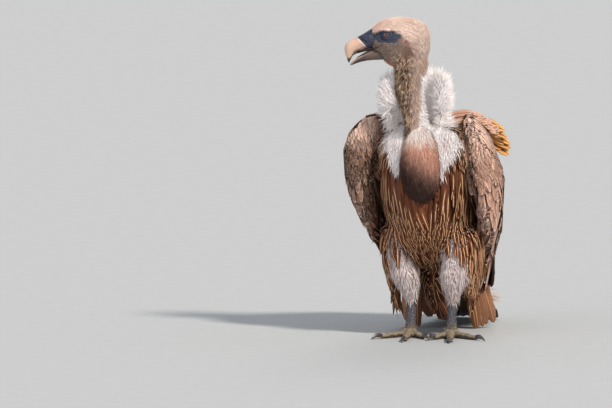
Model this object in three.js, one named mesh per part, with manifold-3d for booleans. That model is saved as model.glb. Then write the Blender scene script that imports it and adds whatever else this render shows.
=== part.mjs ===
// Griffon vulture (Gyps fulvus), standing with its wings folded and its head
// turned to its right. Millimetres, +Z up, the bird faces -Y, its left is +X,
// and the floor is Z = 0. The parts are laid out from a point on the floor
// midway between the ankles, and the whole is moved at the end.
//
// Nearly every part is a loft through ribs. A rib is one oval slice of the
// body: it runs from a `top` point to a `low` point, `half` is its half width
// across that line, and `bow` bends it outwards like a shell. Where two parts
// meet, the one that lies under the other is cut by the other grown a little.

import * as THREE from 'three';
import { mergeVertices } from 'three/addons/utils/BufferGeometryUtils.js';
import Module from 'manifold-3d';

// Driving dimensions
const CRANIUM = [-41, -117, 650]; // centre of the braincase
const HEAD_TURN = 77; // degrees, head turned to the bird's right
const BILL_REACH = 117; // braincase centre to the front of the bill
const EYE_RADIUS = 10.5;
const EYE_FORWARD = 29; // eye centre ahead of the braincase centre
const EYE_UP = 11.5;
const EYE_OUT = 21; // eye centre from the head's mid-plane
const HIP_SPREAD = 56; // each thigh from the mid-plane
const FOOT_LEFT = 49; // each foot from the mid-plane
const FOOT_RIGHT = 41;
const TARSUS_HALF = 10.5;
const TOE_HALF = 8.5;
const TOE_ROOT = 8; // where a toe starts, from the middle of the foot
const TAIL_FEATHERS = 12;
const TAIL_DIP = -3; // tips before the floor trims them
const SECONDARIES = 9; // tips that show on the folded wing
const PRIMARIES = 6;
const GAP = 0.5; // between touching parts
const FLOOR_DEPTH = 60; // thickness of the block that trims the soles flat
const MOST_GROWTH = 12; // furthest that a sharp corner moves, in gaps
const TINY_FACE = 1e-4; // square millimetres
const SIMPLIFY = 0.25; // slivers thinner than this are merged away

// Colours of the plumage and the bare parts
const WHITE_DOWN = 0xe9e2df;
const CREAM_DOWN = 0xdcbfae;
const RUST_BROWN = 0x7a4526;
const TAN = 0xb98565;
const COVERT_BROWN = 0x9c7056;
const FLIGHT_BROWN = 0x2c2320;
const ORANGE_TAN = 0xc98a3e;
const SLATE = 0x48525f;
const BILL_HORN = 0xcfa78c;
const MANDIBLE = 0x3b332f;
const LEG_GREY = 0x6d7276;
const TOE_YELLOW = 0xc9ab80;
const CLAW_HORN = 0x26211f;
const IRIS = 0x5b341c;

const wasm = await Module();
wasm.setup();

// ---------------------------------------------------------------- tools

const point = (values) => new THREE.Vector3(...values);
const mix = THREE.MathUtils.lerp;

function between(a, b, t) {
  return a.map((value, axis) => mix(value, b[axis], t));
}

// A smooth run of values through a list of rows, one row per rib.
function smoothRows(rows) {
  return (t) => {
    const place = t * (rows.length - 1);
    const here = Math.min(Math.floor(place), rows.length - 2);
    const row = (i) => rows[THREE.MathUtils.clamp(i, 0, rows.length - 1)];
    const part = place - here;
    return rows[0].map((_, column) => {
      const [a, b, c, d] = [-1, 0, 1, 2].map((step) => row(here + step)[column]);
      const slopeIn = (c - a) / 2;
      const slopeOut = (d - b) / 2;
      const cubic = 2 * b - 2 * c + slopeIn + slopeOut;
      const square = 3 * c - 3 * b - 2 * slopeIn - slopeOut;
      return ((cubic * part + square) * part + slopeIn) * part + b;
    });
  };
}

// Moves each corner of a merged geometry until every face that meets there has
// gone out by grow.
function grown(geometry, grow) {
  const corners = geometry.attributes.position;
  const index = geometry.index.array;
  const normals = Array.from({ length: corners.count }, () => []);
  const triangle = new THREE.Triangle();
  for (let i = 0; i < index.length; i += 3) {
    triangle.setFromAttributeAndIndices(corners, index[i], index[i + 1], index[i + 2]);
    if (triangle.getArea() < TINY_FACE) continue;
    const normal = triangle.getNormal(new THREE.Vector3());
    for (const corner of index.slice(i, i + 3)) normals[corner].push(normal);
  }
  return corners.array.map((value, i) => {
    const corner = Math.floor(i / 3);
    const move = new THREE.Vector3();
    for (let turn = 0; turn < 40; turn += 1) {
      for (const normal of normals[corner]) {
        move.addScaledVector(normal, Math.max(0, grow - normal.dot(move)));
      }
    }
    return value + move.clampLength(0, MOST_GROWTH * grow).getComponent(i % 3);
  });
}

// A closed geometry as a solid, grown a little where it is to cut a neighbour.
function asSolid(geometry, grow = 0) {
  geometry.deleteAttribute('normal');
  geometry.deleteAttribute('uv');
  const merged = mergeVertices(geometry, 1e-4);
  return new wasm.Manifold(new wasm.Mesh({
    numProp: 3,
    vertProperties: new Float32Array(grown(merged, grow)),
    triVerts: new Uint32Array(merged.index.array),
  }));
}

// Closes an oval ring of corners with a strip that runs from low to top, so
// that a bowed slice is closed along its own shape.
function endFaces(first, sides) {
  const outer = (k) => first + ((k + sides) % sides);
  const inner = (k) => first + ((sides / 2 - k + sides) % sides);
  const quarter = Math.floor(sides / 4);
  const faces = [];
  for (let k = -quarter; k < quarter; k += 1) {
    faces.push([outer(k), outer(k + 1), inner(k)], [inner(k), outer(k + 1), inner(k + 1)]);
  }
  return faces.filter(([a, b, c]) => a !== b && b !== c && c !== a);
}

// Lofts closed ovals through ribs. ribAt(t) gives { top, low, half, bow, out },
// where out is the direction that half and bow are measured in.
function loft(ribAt, { stations, sides, grow = 0, from = 0, to = 1, square = 1 }) {
  const corner = (value) => Math.sign(value) * Math.abs(value) ** square;
  const positions = [];
  for (let i = 0; i <= stations; i += 1) {
    const rib = ribAt(mix(from, to, i / stations));
    const middle = rib.top.clone().add(rib.low).multiplyScalar(0.5);
    const reach = rib.top.clone().sub(rib.low).multiplyScalar(0.5);
    for (let k = 0; k < sides; k += 1) {
      const angle = (k / sides) * 2 * Math.PI;
      const swing = corner(Math.sin(angle));
      const wide = corner(Math.cos(angle)) * rib.half + rib.bow * (1 - swing ** 2);
      const spot = middle.clone().addScaledVector(reach, swing).addScaledVector(rib.out, wide);
      positions.push(...spot.toArray());
    }
  }
  const faces = [];
  for (let k = 0; k < sides; k += 1) {
    const next = (k + 1) % sides;
    for (let i = 0; i < stations; i += 1) {
      const [a, b] = [i * sides + k, i * sides + next];
      faces.push([a, b, b + sides], [a, b + sides, a + sides]);
    }
  }
  faces.push(...endFaces(0, sides).map((face) => face.reverse()));
  faces.push(...endFaces(stations * sides, sides));
  const geometry = new THREE.BufferGeometry();
  geometry.setAttribute('position', new THREE.Float32BufferAttribute(positions, 3));
  geometry.setIndex(faces.flat());
  if (asSolid(geometry).volume() < 0) geometry.setIndex(faces.map((face) => face.reverse()).flat());
  return asSolid(geometry, grow);
}

const SIDEWAYS = new THREE.Vector3(1, 0, 0);

// Ribs of a part that is the same on both sides of an upright plane.
// Row: top ahead, top up, low ahead, low up, half width, shift to the side.
function planeRibs(rows, { origin = [0, 0, 0], ahead = [0, 1, 0], out = [1, 0, 0] } = {}) {
  const rowAt = smoothRows(rows);
  const place = (forward, up, shift) => point(origin)
    .addScaledVector(point(ahead), forward)
    .addScaledVector(point(out), shift)
    .add(new THREE.Vector3(0, 0, up));
  return (t) => {
    const [topAhead, topUp, lowAhead, lowUp, half, shift = 0] = rowAt(t);
    const top = place(topAhead, topUp, shift);
    const low = place(lowAhead, lowUp, shift);
    return { top, low, half, bow: 0, out: point(out) };
  };
}

// Ribs given by whole points. Row: top x y z, low x y z, half, bow.
function spaceRibs(rows, side = 1) {
  const rowAt = smoothRows(rows);
  return (t) => {
    const row = rowAt(t);
    return {
      top: new THREE.Vector3(side * row[0], row[1], row[2]),
      low: new THREE.Vector3(side * row[3], row[4], row[5]),
      half: row[6],
      bow: side * row[7],
      out: SIDEWAYS,
    };
  };
}

// A fan of feathers as one plate. Each rib is a line from a feather's root to
// its tip, and the tips dip between one feather and the next.
function featherFan({ roots, tips, half, bow, count, dip, out, side = 1 }) {
  const rootAt = smoothRows(roots);
  const tipAt = smoothRows(tips);
  return (t) => {
    const low = rootAt(t);
    const full = tipAt(t);
    const notch = dip * Math.cos(Math.PI * count * t) ** 2;
    const length = Math.hypot(...full.map((value, axis) => value - low[axis]));
    const top = between(full, low, notch / length);
    return {
      top: new THREE.Vector3(side * top[0], top[1], top[2]),
      low: new THREE.Vector3(side * low[0], low[1], low[2]),
      half,
      bow: (out ? 1 : side) * bow,
      out: out ?? SIDEWAYS,
    };
  };
}

// ---------------------------------------------------------------- head

const turn = THREE.MathUtils.degToRad(HEAD_TURN);
const headPlane = {
  origin: CRANIUM,
  ahead: [-Math.sin(turn), -Math.cos(turn), 0],
  out: [Math.cos(turn), -Math.sin(turn), 0],
};

const HEAD_RIBS = [
  [-65, 14, -65, -24, 12],
  [-57, 31, -57, -42, 26],
  [-38, 42.5, -40, -54, 33],
  [-10, 49, -12, -60, 34.5],
  [18, 48, 16, -60, 32],
  [42, 39, 36, -45, 26],
  [56, 29, 50, -30, 20],
  [67, 19, 62, -19, 15.5],
];
const BEAK_RIBS = [
  [58, 24, 54, -16, 16.5],
  [71, 15.5, 67, -20, 16.5],
  [83, 8.5, 79, -23, 15.5],
  [94, 3, 89, -26, 14],
  [107, -2, 97, -31, 12],
  [116, -11, 101.5, -37, 9.5],
  [BILL_REACH + 1, -25, 103.5, -42, 6.5],
  [114, -38, 106, -46, 3.8],
  [109.5, -50, 107.5, -50.5, 1.2],
];
const CERE_END = 0.27; // share of the beak that the cere covers
const CERE_STEP = 0.006; // the gap in front of the cere, as a share of the beak
const MANDIBLE_RIBS = [
  [34, -18, 34, -44, 14],
  [47, -19.5, 45, -44.5, 14],
  [61, -27, 60, -45, 13],
  [77, -34, 76, -47, 11],
  [92, -41.5, 91, -51, 8.5],
  [102, -48.5, 101, -55.5, 5.5],
  [106, -53, 105.5, -56.5, 2],
];
const NECK_RIBS = [
  [8, -28, -50, -12, 24],
  [14, -64, -64, -42, 32],
  [13, -80, -60, -68, 32],
  [14, -106, -48, -100, 28],
  [0, -147, -51, -141, 27],
  [-8, -188, -58, -182, 29],
  [-12, -224, -64, -218, 30],
];

const head = (grow) => loft(planeRibs(HEAD_RIBS, headPlane), { stations: 10, sides: 16, grow });
const neck = (grow) => loft(planeRibs(NECK_RIBS, headPlane), { stations: 8, sides: 12, grow });
const cere = (grow) => loft(planeRibs(BEAK_RIBS, headPlane), {
  stations: 3, sides: 12, grow, to: CERE_END,
});
const billUpper = (grow) => loft(planeRibs(BEAK_RIBS, headPlane), {
  stations: 10, sides: 12, grow, from: CERE_END + CERE_STEP,
});
const billLower = (grow) => loft(planeRibs(MANDIBLE_RIBS, headPlane), {
  stations: 7, sides: 10, grow,
});

function eye(side) {
  return (grow) => {
    const ball = new THREE.SphereGeometry(EYE_RADIUS, 12, 6);
    const centre = point(CRANIUM)
      .addScaledVector(point(headPlane.ahead), EYE_FORWARD)
      .addScaledVector(point(headPlane.out), side * EYE_OUT);
    ball.translate(centre.x, centre.y, centre.z + EYE_UP);
    return asSolid(ball, grow);
  };
}

// ---------------------------------------------------------------- ruff

const RUFF_CENTRE = [-14, -84];
const RUFF_SWEEP = 138; // degrees from the nape to each front end
const RUFF_SIDE = 60; // path radius across, and from front to back
const RUFF_DEEP = 50;
const RUFF_MIDDLE = 516;
const RUFF_HEIGHT = 60; // half height at the nape
const RUFF_HALF = 27; // half thickness

// A collar round the back of the neck, open at the throat.
function ruffRib(t) {
  const angle = THREE.MathUtils.degToRad(mix(-RUFF_SWEEP, RUFF_SWEEP, t));
  const spread = Math.abs(2 * t - 1);
  const taper = Math.sqrt(Math.max(0, 1 - spread ** 5));
  const across = point(headPlane.ahead).multiplyScalar(-Math.sin(angle));
  const back = point(headPlane.out).multiplyScalar(-Math.cos(angle));
  const centre = new THREE.Vector3(RUFF_CENTRE[0], RUFF_CENTRE[1], RUFF_MIDDLE)
    .addScaledVector(across, RUFF_SIDE)
    .addScaledVector(back, RUFF_DEEP);
  const lift = new THREE.Vector3(0, 0, RUFF_HEIGHT * mix(0.2, 1, taper) - 7 * spread);
  const sink = new THREE.Vector3(0, 0, 8 * t);
  return {
    top: centre.clone().add(lift).add(sink),
    low: centre.clone().sub(lift).sub(sink),
    half: RUFF_HALF * mix(0.2, 1, taper),
    bow: 0,
    out: across.clone().add(back).normalize(),
  };
}

const ruff = (grow) => loft(ruffRib, { stations: 12, sides: 8, grow });

// ---------------------------------------------------------------- trunk

// Rows run from the neck down and back to the tail: back side, breast side.
const TRUNK_RIBS = [
  [-66, 478, -128, 446, 46],
  [2, 486, -148, 390, 94],
  [66, 458, -132, 304, 106],
  [124, 402, -92, 226, 108],
  [170, 330, -28, 166, 100],
  [202, 258, 46, 130, 82],
  [224, 200, 108, 112, 62],
  [232, 160, 160, 110, 40],
];
const CROP_RIBS = [
  [-136, 468, -116, 462, 12, 4],
  [-156, 446, -100, 444, 30, 5],
  [-172, 404, -96, 408, 42, 6],
  [-176, 364, -92, 372, 45, 7],
  [-163, 322, -92, 334, 37, 7],
  [-140, 298, -104, 308, 15, 7],
];
const UNDERTAIL_RIBS = [
  [170, 150, 26, 150, 56],
  [190, 116, 44, 108, 50],
  [206, 88, 74, 62, 40],
  [222, 64, 112, 30, 29],
  [246, 46, 164, 18, 18],
  [272, 34, 226, 22, 8],
];
const trunk = (grow) => loft(planeRibs(TRUNK_RIBS), { stations: 11, sides: 16, grow });
const crop = (grow) => loft(planeRibs(CROP_RIBS), { stations: 8, sides: 12, grow });
const undertail = (grow) => loft(planeRibs(UNDERTAIL_RIBS), { stations: 6, sides: 10, grow });

const TAIL_ROOTS = [[-30, 196, 136], [0, 190, 146], [30, 196, 136]];
const TAIL_TIPS = [[-66, 414], [-38, 434], [0, 440], [38, 434], [66, 414]]
  .map(([x, y]) => [x, y, TAIL_DIP]);
const TAIL_HALF = 6;
const UPWARDS = new THREE.Vector3(0, 0.45, 0.89).normalize();
const tail = (grow) => loft(featherFan({
  roots: TAIL_ROOTS, tips: TAIL_TIPS, half: TAIL_HALF, bow: 4, count: TAIL_FEATHERS, dip: 9, out: UPWARDS,
}), { stations: 2 * TAIL_FEATHERS, sides: 8, grow, square: 0.7 });

// ---------------------------------------------------------------- wings

// Rows run from the wrist back: upper edge x y z, lower edge x y z.
const COVERT_RIBS = [
  [108, -86, 450, 122, -92, 398, 12, 5],
  [94, -68, 482, 124, -86, 338, 30, 13],
  [84, -30, 492, 126, -60, 282, 33, 22],
  [74, 38, 484, 124, -8, 230, 29, 32],
  [66, 104, 446, 116, 56, 182, 21, 34],
  [62, 164, 390, 106, 122, 148, 11, 36],
  [60, 192, 354, 100, 154, 166, 5, 36],
];

function wingCoverts(side, spread) {
  const rows = COVERT_RIBS.map((row, i) => {
    const share = 1 - i / (COVERT_RIBS.length - 1);
    const shifts = { 0: spread * share * share, 3: (spread * share) / 2 };
    return row.map((value, column) => value + (shifts[column] ?? 0));
  });
  return (grow) => loft(spaceRibs(rows, side), { stations: 9, sides: 10, grow });
}

function wingSecondaries(side) {
  return (grow) => loft(featherFan({
    roots: [[52, 96, 436], [86, 90, 310], [102, 70, 190]],
    tips: [[26, 262, 296], [48, 312, 216], [66, 306, 140], [80, 232, 86]],
    half: 8,
    bow: 20,
    count: SECONDARIES,
    dip: 13,
    side,
  }), { stations: 2 * SECONDARIES, sides: 8, grow, square: 0.7 });
}

function wingPrimaries(side) {
  return (grow) => loft(featherFan({
    roots: [[70, 176, 258], [84, 130, 190], [100, 60, 176]],
    tips: [[34, 408, 112], [28, 436, 76], [44, 400, 52], [72, 262, 62]],
    half: 7,
    bow: 10,
    count: PRIMARIES,
    dip: 15,
    side,
  }), { stations: 2 * PRIMARIES, sides: 8, grow, square: 0.7 });
}

// The long shoulder feathers. The left ones stand out over the wing.
function scapulars(side, lift) {
  const tip = (x, y, z) => [x + lift, y, z];
  return (grow) => loft(featherFan({
    roots: [[50, -8, 486], [46, 34, 482], [40, 84, 458], [34, 124, 424]],
    tips: [tip(90, 22, 482), tip(110, 70, 461), tip(116, 120, 422), tip(92, 166, 382)],
    half: 6,
    bow: 5,
    count: 6,
    dip: 12,
    side,
    out: new THREE.Vector3(side * 0.25, 0.35, 0.9).normalize(),
  }), { stations: 12, sides: 8, grow, square: 0.7 });
}

// ---------------------------------------------------------------- legs

function legPlane(side) {
  return { out: [side, 0, 0] };
}

function thigh(side, foot) {
  const rows = [
    [-66, 232, 62, 240, 32, HIP_SPREAD],
    [-60, 186, 54, 192, 35, HIP_SPREAD],
    [-46, 134, 38, 130, 31, mix(HIP_SPREAD, foot, 0.3)],
    [-22, 98, 28, 94, 20, mix(HIP_SPREAD, foot, 0.8)],
    [-6, 80, 20, 76, 12.5, foot],
  ];
  return (grow) => loft(planeRibs(rows, legPlane(side)), { stations: 7, sides: 10, grow });
}

// Feathers of the flank, which hang outside and behind the thigh.
function flank(side) {
  const rows = [
    [-34, 236, 116, 250, 20, 92],
    [-30, 176, 112, 180, 22, 92],
    [-2, 118, 96, 116, 17, 88],
    [24, 78, 74, 76, 10, 84],
    [42, 46, 56, 44, 3, 81],
  ];
  return (grow) => loft(planeRibs(rows, legPlane(side)), { stations: 6, sides: 8, grow });
}

function tarsus(side, foot) {
  const rows = [
    [-2, 104, 22, 100, 10, foot],
    [-3, 84, 20, 80, TARSUS_HALF + 1, foot],
    [-8, 50, 12, 48, TARSUS_HALF, foot],
    [-16, 24, 10, 22, TARSUS_HALF + 2, foot],
    [-20, 10, 12, 10, TARSUS_HALF + 5, foot],
    [-16, -6, 8, -6, TARSUS_HALF + 3, foot],
  ];
  return (grow) => loft(planeRibs(rows, legPlane(side)), { stations: 7, sides: 10, grow });
}

// Each toe lies on the floor and ends in a hooked claw. The angle is measured
// from straight ahead, outwards from the bird's mid-plane.
const TOES = [
  { toe: 'middle', reach: 112, half: TOE_HALF, claw: 30, angle: 7 },
  { toe: 'inner', reach: 70, half: TOE_HALF - 0.4, claw: 30, angle: -24 },
  { toe: 'outer', reach: 84, half: TOE_HALF - 0.8, claw: 28, angle: 50 },
  { toe: 'hind', reach: 44, half: TOE_HALF - 0.6, claw: 32, angle: 190 },
];
const FOOT_YAW = { left: 3, right: -12 }; // each foot turned outwards on its leg
const CLAW_SHARE = 0.42; // claw root height over the toe's width

function toePlane(side, foot, turned) {
  const angle = THREE.MathUtils.degToRad(turned);
  return {
    origin: [side * foot, -4, 0],
    ahead: [side * Math.sin(angle), -Math.cos(angle), 0],
    out: [side * Math.cos(angle), Math.sin(angle), 0],
  };
}

function toeLoft({ reach, half }, plane) {
  const rows = [];
  const joints = 4;
  for (let i = 0; i <= 2 * joints; i += 1) {
    const share = i / (2 * joints);
    const pad = i % 2 ? 1.08 : 0.9;
    const wide = half * mix(1.12, 0.78, share) * pad;
    const along = mix(TOE_ROOT, reach, share);
    rows.push([along, wide * 2.05 - 1, along, -1.5, wide]);
  }
  return (grow) => loft(planeRibs(rows, plane), { stations: 8, sides: 6, grow });
}

function clawLoft({ reach, half, claw }, plane) {
  const up = half * CLAW_SHARE;
  const rows = [
    [reach - 7, up + 7, reach - 5, up - 2, half * 0.5],
    [reach + 5, up + 11, reach + 4, up - 1, half * 0.56],
    [reach + claw * 0.5, up + 9, reach + claw * 0.42, up, half * 0.42],
    [reach + claw * 0.82, up + 2.5, reach + claw * 0.72, up - 1, half * 0.25],
    [reach + claw, -1.2, reach + claw * 0.93, -1.4, half * 0.08],
  ];
  return (grow) => loft(planeRibs(rows, plane), { stations: 5, sides: 6, grow });
}

// ---------------------------------------------------------------- assembly

// name: [shape, colour, roughness, names of the parts that cut it]
const parts = {
  eye_left: [eye(1), IRIS, 0.15, []],
  eye_right: [eye(-1), IRIS, 0.15, []],
  cere: [cere, SLATE, 0.5, []],
  bill_upper: [billUpper, BILL_HORN, 0.35, []],
  bill_lower: [billLower, MANDIBLE, 0.4, ['bill_upper', 'cere']],
  head: [head, CREAM_DOWN, 0.9, ['eye_left', 'eye_right', 'cere', 'bill_upper', 'bill_lower']],
  neck: [neck, CREAM_DOWN, 0.9, ['head']],
  ruff: [ruff, WHITE_DOWN, 0.95, ['neck', 'head']],
  crop: [crop, TAN, 0.9, ['neck', 'ruff']],
  tail: [tail, FLIGHT_BROWN, 0.7, []],
};
const trunkCutters = ['neck', 'ruff', 'crop', 'tail'];
const undertailCutters = ['trunk', 'tail'];
const LEGS = { left: [1, FOOT_LEFT], right: [-1, FOOT_RIGHT] };
const SCAPULAR_LIFT = { left: 38, right: 6 };
const WRIST_SPREAD = { left: 4, right: 42 }; // how far each wrist stands out

for (const [name, [side, foot]] of Object.entries(LEGS)) {
  const wing = ['coverts', 'secondaries', 'primaries'].map((row) => `wing_${name}_${row}`);
  const [coverts, secondaries, primaries] = wing;
  const shoulder = `scapulars_${name}`;
  parts[coverts] = [wingCoverts(side, WRIST_SPREAD[name]), COVERT_BROWN, 0.8, []];
  parts[secondaries] = [wingSecondaries(side), FLIGHT_BROWN, 0.7, [coverts]];
  parts[primaries] = [wingPrimaries(side), FLIGHT_BROWN, 0.7, [coverts, secondaries, 'tail']];
  parts[shoulder] = [scapulars(side, SCAPULAR_LIFT[name]), ORANGE_TAN, 0.8, [...wing, 'ruff']];
  parts[`tarsus_${name}`] = [tarsus(side, foot), LEG_GREY, 0.6, []];
  parts[`thigh_${name}`] = [thigh(side, foot), WHITE_DOWN, 0.95, [`tarsus_${name}`, ...wing]];
  parts[`flank_${name}`] = [flank(side), RUST_BROWN, 0.9, [`thigh_${name}`, ...wing]];
  trunkCutters.push(...wing, shoulder, `thigh_${name}`, `flank_${name}`);
  undertailCutters.push(`thigh_${name}`, `flank_${name}`);

  const laid = [];
  for (const size of TOES) {
    const plane = toePlane(side, foot, size.angle + FOOT_YAW[name]);
    const toe = `toe_${size.toe}_${name}`;
    const claw = `claw_${size.toe}_${name}`;
    parts[claw] = [clawLoft(size, plane), CLAW_HORN, 0.3, []];
    parts[toe] = [toeLoft(size, plane), TOE_YELLOW, 0.7, [claw, `tarsus_${name}`, ...laid]];
    laid.push(toe);
  }
}
parts.trunk = [trunk, RUST_BROWN, 0.9, trunkCutters];
parts.undertail_coverts = [undertail, RUST_BROWN, 0.9, undertailCutters];

const ground = new THREE.BoxGeometry(1500, 1500, FLOOR_DEPTH);
ground.translate(0, 0, -FLOOR_DEPTH / 2);
const underFloor = asSolid(ground);

function largestPiece(body) {
  return body.decompose().reduce((best, piece) => (piece.volume() > best.volume() ? piece : best));
}

function finished([shape, , , cutters]) {
  const cut = cutters.reduce((body, name) => body.subtract(parts[name][0](GAP)), shape(0));
  return largestPiece(cut.subtract(underFloor)).simplify(SIMPLIFY);
}

function meshOf(name, part) {
  const { vertProperties, triVerts } = finished(part).getMesh();
  const geometry = new THREE.BufferGeometry();
  geometry.setAttribute('position', new THREE.BufferAttribute(vertProperties, 3));
  geometry.setIndex(new THREE.BufferAttribute(triVerts, 1));
  const [, color, roughness] = part;
  const material = new THREE.MeshStandardMaterial({ color, roughness, metalness: 0 });
  const mesh = new THREE.Mesh(geometry, material);
  mesh.name = name;
  return mesh;
}

const vulture = new THREE.Group();
for (const [name, part] of Object.entries(parts)) vulture.add(meshOf(name, part));

// The origin is the middle of the bird's outline on the floor.
const middle = new THREE.Box3().setFromObject(vulture).getCenter(new THREE.Vector3());
vulture.position.set(-middle.x, -middle.y, 0);

export default vulture;
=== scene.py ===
# %% [markdown]
# # A griffon vulture, life size, built in Blender
# The bird stands on both feet with its wings folded and its head turned to its right.
# Its flesh, bill, claws and feather plates come as plain closed solids, and this script
# dresses them: one skin, then coat after coat of real mesh feathers that lie along it.
# The solids load first, because every piece is placed by them.

# %% Load the solids
import math
import bmesh
import bpy
import numpy as np
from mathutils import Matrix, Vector
from mathutils.bvhtree import BVHTree
from mathutils.kdtree import KDTree


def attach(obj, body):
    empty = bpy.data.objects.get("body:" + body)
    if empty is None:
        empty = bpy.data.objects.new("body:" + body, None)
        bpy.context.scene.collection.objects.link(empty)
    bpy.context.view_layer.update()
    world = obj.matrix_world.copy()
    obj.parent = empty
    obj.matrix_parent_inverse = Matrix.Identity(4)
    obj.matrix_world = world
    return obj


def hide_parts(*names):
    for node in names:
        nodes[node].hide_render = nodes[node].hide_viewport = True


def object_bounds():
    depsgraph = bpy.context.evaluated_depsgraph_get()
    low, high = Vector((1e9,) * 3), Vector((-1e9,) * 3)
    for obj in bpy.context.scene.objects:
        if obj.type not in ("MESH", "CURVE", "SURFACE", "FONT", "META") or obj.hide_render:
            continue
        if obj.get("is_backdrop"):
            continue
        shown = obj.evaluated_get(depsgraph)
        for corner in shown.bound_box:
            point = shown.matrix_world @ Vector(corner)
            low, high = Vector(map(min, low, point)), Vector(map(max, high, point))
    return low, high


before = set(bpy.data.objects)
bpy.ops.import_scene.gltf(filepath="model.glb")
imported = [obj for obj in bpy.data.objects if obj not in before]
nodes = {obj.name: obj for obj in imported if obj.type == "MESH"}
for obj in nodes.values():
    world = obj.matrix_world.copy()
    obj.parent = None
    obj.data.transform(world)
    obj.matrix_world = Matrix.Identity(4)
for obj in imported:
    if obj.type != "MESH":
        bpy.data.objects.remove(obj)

solid_box = [list(corner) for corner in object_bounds()]
print("solids", len(nodes), "box", solid_box)

# %% [markdown]
# ## The bird's plan
# Anatomy is easier to read in millimetres from a point on the floor midway between the
# ankles: X to the bird's left, Y to its tail, Z up. The head has axes of its own, as it is
# turned: ahead along the bill, up, and out to the bird's left cheek.

# %% Plan and head axes
ORIGIN = np.array([7.108, -130.35, 0.0])
CRANIUM = np.array([-41.0, -117.0, 650.0])
HEAD_TURN = math.radians(77)
AHEAD = np.array([-math.sin(HEAD_TURN), -math.cos(HEAD_TURN), 0.0])
CHEEK = np.array([math.cos(HEAD_TURN), -math.sin(HEAD_TURN), 0.0])
UP = np.array([0.0, 0.0, 1.0])


def place(points):
    """Plan millimetres to the scene's metres."""
    return (np.asarray(points, float) + ORIGIN) / 1000


def plan(points):
    """The scene's metres to plan millimetres."""
    return np.asarray(points, float) * 1000 - ORIGIN


def head_plan(points):
    """Plan millimetres to the head's own: ahead, up, out."""
    rel = np.asarray(points, float) - CRANIUM
    return np.stack([rel @ AHEAD, rel[..., 2], rel @ CHEEK], -1)


def from_head(ahead, up, out):
    """The head's own millimetres to the scene's metres."""
    at = CRANIUM + np.multiply.outer(ahead, AHEAD) + np.multiply.outer(up, UP)
    return place(at + np.multiply.outer(out, CHEEK))


print("the bill points to", AHEAD.round(2))

# %% [markdown]
# ## Camera
# A long lens far away keeps the bird's proportions true. It looks from a little to the
# bird's left and a little above, and the bird stands right of the middle of the frame.

# %% Camera
AZIMUTH, ELEVATION = math.radians(13), math.radians(5)
DISTANCE, FRAME_WIDTH = 20.0, 1.316
AIM_ASIDE, AIM_HIGH = -266.6, 286
away = math.cos(ELEVATION)
back = np.array([math.sin(AZIMUTH) * away, -math.cos(AZIMUTH) * away, math.sin(ELEVATION)])
right = np.array([math.cos(AZIMUTH), math.sin(AZIMUTH), 0.0])
aim = place(AIM_ASIDE * right + AIM_HIGH * np.cross(back, right))
lens = bpy.data.cameras.new("long_lens")
lens.sensor_width = 36
lens.lens = lens.sensor_width * DISTANCE / FRAME_WIDTH
lens.clip_end = 500
camera = bpy.data.objects.new("camera", lens)
bpy.context.scene.collection.objects.link(camera)
camera.location = aim + back * (DISTANCE + 0.06)
camera.rotation_euler = Vector(-back).to_track_quat("-Z", "Y").to_euler()
bpy.context.scene.camera = camera
print("lens", round(lens.lens), "mm, height", round(camera.location.z, 2))

# %% [markdown]
# ## Shader sums
# A material is a small calculation for each point. Node graphs grow long when they are
# wired by hand, so a socket is wrapped here, and ordinary Python sums add the Math nodes.
# A second class holds one material, with a short word for each kind of node it needs.

# %% A socket that takes part in sums
class Wire:
    """A shader socket that can be used in a sum."""

    def __init__(self, paint, socket):
        self.paint, self.socket = paint, socket

    def sum(self, operation, other, turned=False):
        pair = (other, self) if turned else (self, other)
        return self.paint.node("ShaderNodeMath", {"operation": operation}, dict(enumerate(pair)))

    def __add__(self, other):
        return self.sum("ADD", other)

    def __mul__(self, other):
        return self.sum("MULTIPLY", other)

    def __sub__(self, other):
        return self.sum("SUBTRACT", other)

    def __rsub__(self, other):
        return self.sum("SUBTRACT", other, True)

    def __abs__(self):
        return self.sum("ABSOLUTE", 0.0)

    __radd__, __rmul__ = __add__, __mul__


print("sockets can be added, multiplied and subtracted")

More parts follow.
